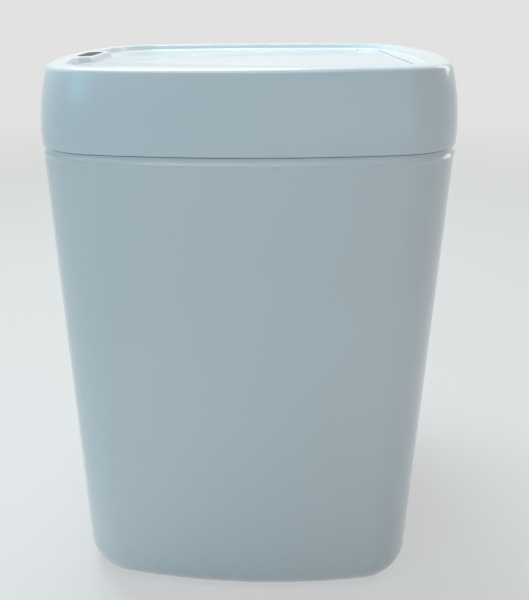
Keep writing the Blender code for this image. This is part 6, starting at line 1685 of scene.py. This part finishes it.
def make_contacts():
    """Stamped contact plates: thin nickelled strip with soft corners and a round dimple for each cell."""
    margin, edge = 0.0001, 0.0001
    dimple = turned(DIMPLE_PROFILE, 24)
    for name, way in (("contact_plate_front", 1), ("contact_plate_rear", -1)):
        centre, half = middle_of(name)
        outline = rounded_outline(half[0] - margin, half[2] - margin, 0.0012)
        parts = [slab(outline, -half[1], half[1], edge).moved(cross(*centre))]
        parts += [dimple.moved(lying(x, centre[1] + way * half[1], CELL_Z, way)) for x in CELL_XS]
        piece(f"{name}_stamped", parts, STEEL, "head", CRISP_DEG, [name])


def make_gear_case():
    """The gearbox's open box with soft corners, a bearing ring and three screw bosses."""
    centre, half = middle_of("gearbox_case")
    low, depth = centre - half, 2 * half[1]
    shape = slab(rounded_outline(half[0], half[2], CASE_CORNER), -half[1], half[1], CASE_EDGE)
    case = piece("gear_case", shape.moved(cross(*centre)), INNER, "head")
    inner = rounded_outline(half[0] - CASE_WALL, half[2] - CASE_WALL, 0.0010)
    hollow = slab(inner, -half[1], half[1] - CASE_WALL, 0.0003)
    cut_out(case, [hollow.moved(cross(*centre))])
    mouth = slab(inner, -CUT_PAST, CUT_PAST, 0.0001)
    cut_out(case, [mouth.moved(cross(centre[0], centre[1] + half[1], centre[2]))])
    boss = rod_between(CASE_BOSS, 0.0, depth - CASE_BOSS_GAP, 28)
    adders = [boss.moved(lying(x, low[1] + CASE_BOSS_START, z)) for x, z in COVER_SCREWS]
    ring = turned(BEARING_RING, 36)
    adders.append(ring.moved(lying(OUTPUT_X, low[1] + CASE_WALL - SINK, GEAR_Z)))
    cut_out(case, adders, "UNION")
    bore = rod_between(POST_BORE, depth - CASE_BORE_DEPTH, depth + CUT_PAST)
    cuts = [bore.moved(lying(x, low[1], z)) for x, z in COVER_SCREWS]
    for x, radius, sides in ((OUTPUT_X, SHAFT_RADIUS, 36), (IDLER_X, PIN_RADIUS, 28)):
        bore = rod_between(radius + ROD_GAP, -CUT_PAST, BORE_REACH, sides)
        cuts.append(bore.moved(lying(x, low[1], GEAR_Z)))
    cut_out(case, cuts)
    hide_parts("gearbox_case")


def make_gear_cover():
    """The gearbox's cover: a soft-edged plate with a raised ring round the shaft, bored for what goes in."""
    centre, half = middle_of("gearbox_cover")
    shape = slab(rounded_outline(half[0], half[2], CASE_CORNER), -half[1], half[1], CASE_EDGE)
    cover = piece("gear_cover", shape.moved(cross(*centre)), INNER, "head")
    top = centre[1] + half[1]
    cut_out(cover, [turned(COVER_RING, 40).moved(lying(OUTPUT_X, top, GEAR_Z))], "UNION")
    holes = [(x, z, POST_BORE) for x, z in COVER_SCREWS]
    holes += [(MOTOR_X, GEAR_Z, MOTOR_BOSS + FIT_GAP), (OUTPUT_X, GEAR_Z, SHAFT_RADIUS + ROD_GAP)]
    holes.append((IDLER_X, GEAR_Z, PIN_RADIUS + ROD_GAP))
    bores = [rod_between(r, -BORE_REACH, BORE_REACH, 36).moved(lying(x, top, z)) for x, z, r in holes]
    cut_out(cover, bores)
    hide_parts("gearbox_cover")


def clipped_circle(radius, flat):
    """A circle with two flats: its x is held to the flats' half width."""
    outline = round_outline(radius, 72)
    outline[:, 0] = np.clip(outline[:, 0], -flat, flat)
    return outline


def make_motor():
    """The small flat-sided motor: a drawn can with a boss, a crimped black end cap, and two terminals."""
    centre, half = middle_of("drive_motor")
    front = centre[1] - half[1]
    boss_end = front + BOSS_HEIGHT
    laid = cross(centre[0], boss_end, GEAR_Z) @ Matrix.Rotation(math.pi, 4, "Y")
    rows = []
    for inset, y in CAN_RINGS:
        outline = clipped_circle(CAN_RADIUS - inset * ROUND_SHARE, CAN_FLAT)
        rows.append(raised(drawn_in(outline, inset * FLAT_SHARE), y))
    boss = rounded_rod(MOTOR_BOSS, 0.0020, 0.0002, 32).moved(lying(MOTOR_X, front, GEAR_Z))
    piece("motor_can", [woven(rows).moved(laid), boss], STEEL, "head", CRISP_DEG, ["drive_motor"])
    outline = clipped_circle(CAP_RADIUS, CAP_FLAT)
    cap = woven([raised(drawn_in(outline, inset), y) for inset, y in CAP_RINGS])
    face = boss_end + CAP_FACE
    guard = block((-0.0009, -0.0016, 0.0), (0.0009, 0.0016, 0.0012), corner=0.0003, edge=0.0001, per_corner=2)
    parts = [cap.moved(laid), turned(CAP_HUB, 32).moved(lying(MOTOR_X, face, GEAR_Z))]
    parts += [guard.moved(lying(MOTOR_X, face, GEAR_Z + offset)) for offset in (-GUARD_OFFSET, GUARD_OFFSET)]
    piece("motor_cap", parts, WIRE_BLACK, "head", CRISP_DEG)
    tag = slab(rounded_outline(0.0010, 0.00015, 0.0001, 2), 0.0, 0.0019, 0.0001)
    tags = [tag.moved(lying(MOTOR_X, face, GEAR_Z + offset)) for offset in (-TAG_OFFSET, TAG_OFFSET)]
    piece("motor_tags", tags, BRASS, "head", CRISP_DEG)


def make_pins():
    """Turned steel pins: the idler's pin and the motor's shaft, their ends rounded."""
    for name, body in (("idler_pin", "head"), ("motor_shaft", "motor_spindle")):
        centre, half = middle_of(name)
        place = lying(centre[0], centre[1] - half[1], centre[2])
        pin = rounded_rod(half[2] * PIN_SHARE, 2 * half[1], 0.0002, 28).moved(place)
        piece(f"{name}_turned", pin, STEEL, body, PAD_DEG, [name])


def small_block(x, y, z, long, wide, high):
    """A surface-mount part, long in Y, standing on z, or hanging when its height is negative."""
    half = np.array([wide, long]) / 2
    low, top = sorted((z, z + high))
    corner = min(0.00015, 0.8 * half.min())
    return block((x - half[0], y - half[1], low), (x + half[0], y + half[1], top), corner, 0.00006, 2)


def passive(x, y, z, way):
    """A small part's body, and its two metal ends. The way is 1 upwards and -1 downwards."""
    body = small_block(x, y, z, PASSIVE_LENGTH, PASSIVE_WIDTH, way * PASSIVE_HEIGHT)
    ends = []
    for end in (y - PASSIVE_END_REACH, y + PASSIVE_END_REACH):
        ends.append(small_block(x, end, z, PASSIVE_END, PASSIVE_WIDTH, way * PASSIVE_END_HEIGHT))
    return body, ends


def make_control_board():
    """The control board with holes; below it a chip on bent legs, a can, a plug and small parts."""
    centre, half = middle_of("control_board")
    low_y, high_y = centre[1] - half[1], centre[1] + half[1]
    board_low = BOARD_TOP - BOARD_THICKNESS
    outline = rounded_outline(half[0], half[1], 0.0012, 4) + centre[:2]
    sheet = slab(outline, board_low, BOARD_TOP, SHEET_EDGE)
    board = piece("board_sheet", sheet, BOARD, "head")
    bore = rod_between(POST_BORE, board_low - CUT_PAST, BOARD_TOP + CUT_PAST)
    cut_out(board, [bore.moved(standing(BOARD_X, y, 0.0)) for y in BOARD_POST_YS])
    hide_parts("control_board")
    chip_y, can_y, plug_y = (mix(low_y, high_y, share) for share in (0.25, 0.5, 0.75))
    low = (BOARD_X - CHIP_HALF[0], chip_y - CHIP_HALF[1], board_low - CHIP_DEPTH)
    high = (BOARD_X + CHIP_HALF[0], chip_y + CHIP_HALF[1], board_low - CHIP_GAP)
    dark = [block(low, high, corner=0.0003, edge=0.0002, per_corner=3)]
    for x, y, size in BOARD_CHIPS:
        dark.append(small_block(centre[0] + x, centre[1] + y, board_low, size, size * 0.55, -0.0006))
    piece("board_chips", dark, WIRE_BLACK, "head", CRISP_DEG)
    legs = []
    for side in (-1, 1):
        for y in chip_y + steps(-LEG_REACH, LEG_REACH, 8):
            path = [(BOARD_X + side * reach, y, board_low + rise) for reach, rise in CHIP_LEG]
            legs.append(pipe(smooth_path(path, 9), LEG_RADIUS, 6))
    for y in plug_y + steps(-PLUG_LEG_REACH, PLUG_LEG_REACH, 4):
        path = [(BOARD_X + reach, y, board_low + rise) for reach, rise in PLUG_LEG]
        legs.append(pipe(path, PLUG_LEG_RADIUS, 6))
    rng = np.random.default_rng(4)
    ends, bodies = [], []
    for x in PASSIVE_XS:
        for y in steps(*PASSIVE_SPAN, 10) + rng.uniform(-PASSIVE_SHIFT, PASSIVE_SHIFT, 10):
            away = min(abs(centre[1] + y - place) for place in (chip_y, plug_y, can_y, *BOARD_POST_YS))
            by_middle = away < MIDDLE_CLEAR and abs(x) < MIDDLE_HALF
            by_chip = any(abs(y - chip[1]) < CHIP_CLEAR and x * chip[0] > 0 for chip in BOARD_CHIPS)
            if not (by_middle or by_chip):
                body, caps = passive(centre[0] + x, centre[1] + y, board_low, -1)
                bodies.append(body)
                ends += caps
    piece("board_legs", legs + ends, STEEL, "head", SCREW_DEG)
    piece("board_passives", bodies, JACKET, "head", CRISP_DEG)
    can = turned(CAN_PROFILE, 40).moved(hanging(BOARD_X, can_y, board_low))
    piece("board_can", can, STEEL, "head", CRISP_DEG)
    low = np.array((BOARD_X - PLUG_HALF[0], plug_y - PLUG_HALF[1], PLUG_LOW))
    high = np.array((BOARD_X + PLUG_HALF[0], plug_y + PLUG_HALF[1], board_low))
    shape = block(low, high, corner=0.0004, edge=0.0002, per_corner=3)
    plug = piece("board_plug", shape, NYLON, "head")
    mouth_low = low + (PLUG_WALL, PLUG_WALL, -0.001)
    cut_out(plug, [block(mouth_low, high - PLUG_WALL, corner=0.0003, edge=0.0001, per_corner=2)])


def domed_lamp(foot, radius, height, rings, sides):
    """A lamp's case: its foot's profile, then a dome r cos a, height - r (1 - sin a), nearly to its top."""
    angle = steps(0.0, 0.49 * math.pi, rings)
    dome = [(radius * math.cos(a), height - radius * (1 - math.sin(a))) for a in angle]
    return turned(list(foot) + dome, sides)


def make_sensor_board():
    """The sensor's board: the infrared pair in dark domed cases, the indicator, a plug and small parts."""
    centre, half = middle_of("sensor_board")
    outline = rounded_outline(half[0], half[1], 0.0010, 4) + centre[:2]
    low, top = centre[2] - half[2], centre[2] + half[2]
    sheet = slab(outline, low, top, SHEET_EDGE)
    piece("sensor_sheet", sheet, BOARD, "head", stands_for=["sensor_board"])
    for name in ("ir_emitter", "ir_receiver"):
        spot, reach = middle_of(name)
        lamp = domed_lamp(LAMP_FOOT, LAMP_RADIUS, 2 * reach[2], 9, 40)
        lamp = lamp.moved(standing(spot[0], spot[1], spot[2] - reach[2]))
        piece(f"{name}_case", lamp, LENS_DARK, "head", CRISP_DEG, [name])
    spot, reach = middle_of("indicator_led")
    r = reach[0] * PIN_SHARE
    foot = [(0.0003, 0.0), (r + 0.0001, 0.0), (r + 0.0001, 0.0004), (r, 0.0005)]
    lamp = domed_lamp(foot, r, 2 * reach[2], 7, 32).moved(standing(spot[0], spot[1], spot[2] - reach[2]))
    piece("indicator_case", lamp, LENS_CLEAR, "head", CRISP_DEG, ["indicator_led"])
    ends, bodies = [], []
    for x, y in SENSOR_PASSIVES:
        body, caps = passive(centre[0] + x, centre[1] + y, top, 1)
        bodies.append(body)
        ends += caps
    bodies.append(small_block(centre[0] - 0.0012, 0.0185, top, 0.0029, 0.0016, 0.0010))
    piece("sensor_passives", bodies, WIRE_BLACK, "head", CRISP_DEG)
    piece("sensor_ends", ends, STEEL, "head", CRISP_DEG)


def make_switch():
    """The slide switch: a folded steel case with a slot, three solder tags, and a knob with grip ridges."""
    centre, half = middle_of("switch_body")
    low, high = centre - half, centre + half
    shape = block(low, high, corner=0.0006, edge=0.0003, per_corner=4)
    case = piece("switch_case", shape, STEEL, "head")
    cut_out(case, [switch_slot(low[2] - 0.001, high[2] - 0.0008, corner=0.0003, per_corner=2)])
    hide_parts("switch_body")
    tag = slab(rounded_outline(0.0006, 0.00015, 0.0001, 2), high[2] - 0.0003, high[2] + 0.0021, 0.0001)
    tags = [tag.moved(standing(x, SWITCH_MIDDLE[1], 0.0)) for x in centre[0] + steps(-0.0045, 0.0045, 3)]
    piece("switch_tags", tags, BRASS, "head", CRISP_DEG)
    centre, half = middle_of("power_switch_knob")
    low, high = centre - half, centre + half
    parts = [block((low[0], low[1], low[2] + 0.0005), high, corner=0.0003, edge=0.0002, per_corner=3)]
    for x in centre[0] + steps(-0.0013, 0.0013, 4):
        start = (x - KNOB_RIDGE_HALF, low[1] + 0.0001, low[2])
        end = (x + KNOB_RIDGE_HALF, high[1] - 0.0001, low[2] + 0.0009)
        parts.append(block(start, end, corner=0.0001, edge=0.0001, per_corner=2))
    piece("switch_knob", parts, WIRE_BLACK, "power_switch", CRISP_DEG, ["power_switch_knob"])


def strand(places, number, count):
    """One wire of a twisted pair: it circles the route at its own radius, a full turn each pitch."""
    route = smooth_path(places, count)
    tangent = np.gradient(route, axis=0)
    tangent /= np.linalg.norm(tangent, axis=1)[:, None]
    side = np.cross(tangent, [0.0, 0.0, 1.0])
    side /= np.linalg.norm(side, axis=1)[:, None]
    rise = np.cross(side, tangent)
    length = np.concatenate([[0.0], np.cumsum(np.linalg.norm(np.diff(route, axis=0), axis=1))])
    angle = (FULL_TURN * length / STRAND_PITCH + math.pi * number)[:, None]
    path = route + STRAND_RADIUS * (np.cos(angle) * side + np.sin(angle) * rise)
    return pipe(path, STRAND_RADIUS, 10)


def make_leads():
    """The two inner leads, each a twisted pair along its listed route."""
    for name, places, count in (("sensor_lead", SENSOR_LEAD, 420), ("motor_lead", MOTOR_LEAD, 260)):
        piece(f"{name}_dark", strand(places, 0, count), WIRE_BLACK, "head", SCREW_DEG, [name])
        piece(f"{name}_pale", strand(places, 1, count), WIRE_GREY, "head", SCREW_DEG)


def make_camera():
    """The photograph's view: a matched eye point, turned about Z, tipped down and slightly rolled."""
    down, turn, roll = (math.radians(value) for value in (DOWN_DEG, TURN_DEG, ROLL_DEG))
    back = Matrix.Rotation(-turn, 3, "Z")
    eye = back @ Vector((-SIDE_SHIFT, -DISTANCE, EYE_HEIGHT))
    right = Vector((1.0, 0.0, 0.0))
    up = Vector((0.0, math.sin(down), math.cos(down)))
    rolled_right = math.cos(roll) * right + math.sin(roll) * up
    rolled_up = -math.sin(roll) * right + math.cos(roll) * up
    axes = [back @ axis for axis in (rolled_right, rolled_up, rolled_right.cross(rolled_up))]
    data = bpy.data.cameras.new("camera")
    data.sensor_width = SENSOR_WIDTH_MM
    data.lens = FOCAL_PX * SENSOR_WIDTH_MM / FRAME_PX[1]
    data.shift_x = (FRAME_PX[0] / 2 - CENTRE_PX[0]) / FRAME_PX[1]
    data.shift_y = -(FRAME_PX[1] / 2 - CENTRE_PX[1]) / FRAME_PX[1]
    data.clip_start = 0.01
    camera = bpy.data.objects.new("camera", data)
    camera.matrix_world = Matrix.Translation(eye) @ Matrix(axes).transposed().to_4x4()
    bpy.context.scene.collection.objects.link(camera)
    bpy.context.scene.camera = camera


def area_light(name, place, aim_height, size, power, colour):
    """A rectangular lamp at a place, turned towards a height on the bin's middle line."""
    data = bpy.data.lights.new(name, "AREA")
    data.shape = "RECTANGLE"
    data.size, data.size_y = size
    data.energy = power
    data.color = colour
    light = bpy.data.objects.new(name, data)
    light.location = place
    beam = Vector((0.0, 0.0, aim_height)) - Vector(place)
    light.rotation_euler = beam.to_track_quat("-Z", "Y").to_euler()
    bpy.context.scene.collection.objects.link(light)


def seen_share(tree):
    """One for rays from the camera, from mirrors and through glass, and nought for light on the object."""
    ways = tree.nodes.new("ShaderNodeLightPath")
    share = ways.outputs["Is Camera Ray"]
    for name in ("Is Glossy Ray", "Is Transmission Ray"):
        larger = tree.nodes.new("ShaderNodeMath")
        larger.operation = "MAXIMUM"
        tree.links.new(share, larger.inputs[0])
        tree.links.new(ways.outputs[name], larger.inputs[1])
        share = larger.outputs[0]
    return share


def make_world(strength, colour, shown):
    """An even pale surround: the shown colour to the eye and to gloss, dimmer as light on the object."""
    world = bpy.data.worlds.new("surround")
    world.use_nodes = True
    tree = world.node_tree
    tree.nodes.clear()
    mixed = tree.nodes.new("ShaderNodeMixShader")
    tree.links.new(seen_share(tree), mixed.inputs[0])
    for number, (tint, power) in enumerate(((colour, strength), (shown, 1.0))):
        light = tree.nodes.new("ShaderNodeBackground")
        light.inputs["Color"].default_value = (*tint, 1.0)
        light.inputs["Strength"].default_value = power
        tree.links.new(light.outputs[0], mixed.inputs[1 + number])
    output = tree.nodes.new("ShaderNodeOutputWorld")
    tree.links.new(mixed.outputs[0], output.inputs[0])
    bpy.context.scene.world = world


def make_floor():
    """A plain pale floor: a flat sheet that fades with its distance from the object into the surround.

    By the object it is part lit surface, which keeps the shadow, and part plain glow that only the eye and
    reflections see. Far out it is all glow, of the surround's own colour, so no edge shows from any side.
    """
    light_patch, dark_patch = (0.80, 0.80, 0.795), (0.78, 0.78, 0.78)
    finish = Finish("pale_floor")
    grain = finish.noise(60.0, 4.0)
    finish.set(Base_Color=finish.blend(grain, light_patch, dark_patch), Roughness=0.85)
    across, along = finish.axes()[:2]
    distance = (across * across + along * along) ** 0.5
    far = distance.step(FADE_START, FADE_END)
    glow = finish.add("ShaderNodeEmission", {}, SURROUND_COLOUR)
    share = (far * (1 - FLOOR_GLOW_SHARE) + FLOOR_GLOW_SHARE) * Flow(finish, seen_share(finish.tree))
    lit = Flow(finish, finish.shader.outputs[0])
    mixed = finish.add("ShaderNodeMixShader", {}, share, lit, glow)
    finish.tree.links.new(mixed.socket, finish.tree.nodes["Material Output"].inputs["Surface"])
    rows = [[(x, y, 0.0) for x in (-FLOOR_REACH, FLOOR_REACH)] for y in (-FLOOR_REACH, FLOOR_REACH)]
    sheet = woven(rows, around=False, ends="open")
    mesh = bpy.data.meshes.new("floor")
    mesh.from_pydata(sheet.points.tolist(), [], sheet.faces)
    mesh.materials.append(finish.material)
    floor = bpy.data.objects.new("floor", mesh)
    bpy.context.scene.collection.objects.link(floor)


dress_nodes()
for make in (
    make_body_skin, make_head_skin, make_flap_skin, make_screws, make_feet, make_window,
    make_hinge_rod, make_springs, make_cells, make_hinge_lugs, make_head_posts, make_flap_inside,
    make_flap_tray, make_buffers, make_bag_ring, make_liner, make_battery_door, make_holder,
    make_contacts, make_gear_case, make_gear_cover, make_motor, make_pins, make_control_board,
    make_sensor_board, make_switch, make_leads,
):
    make()

make_camera()
make_world(SURROUND_STRENGTH, SURROUND_TINT, SURROUND_COLOUR)
make_floor()
for lamp in LAMPS:
    area_light(*lamp)
bpy.context.scene.view_settings.view_transform = "Standard"
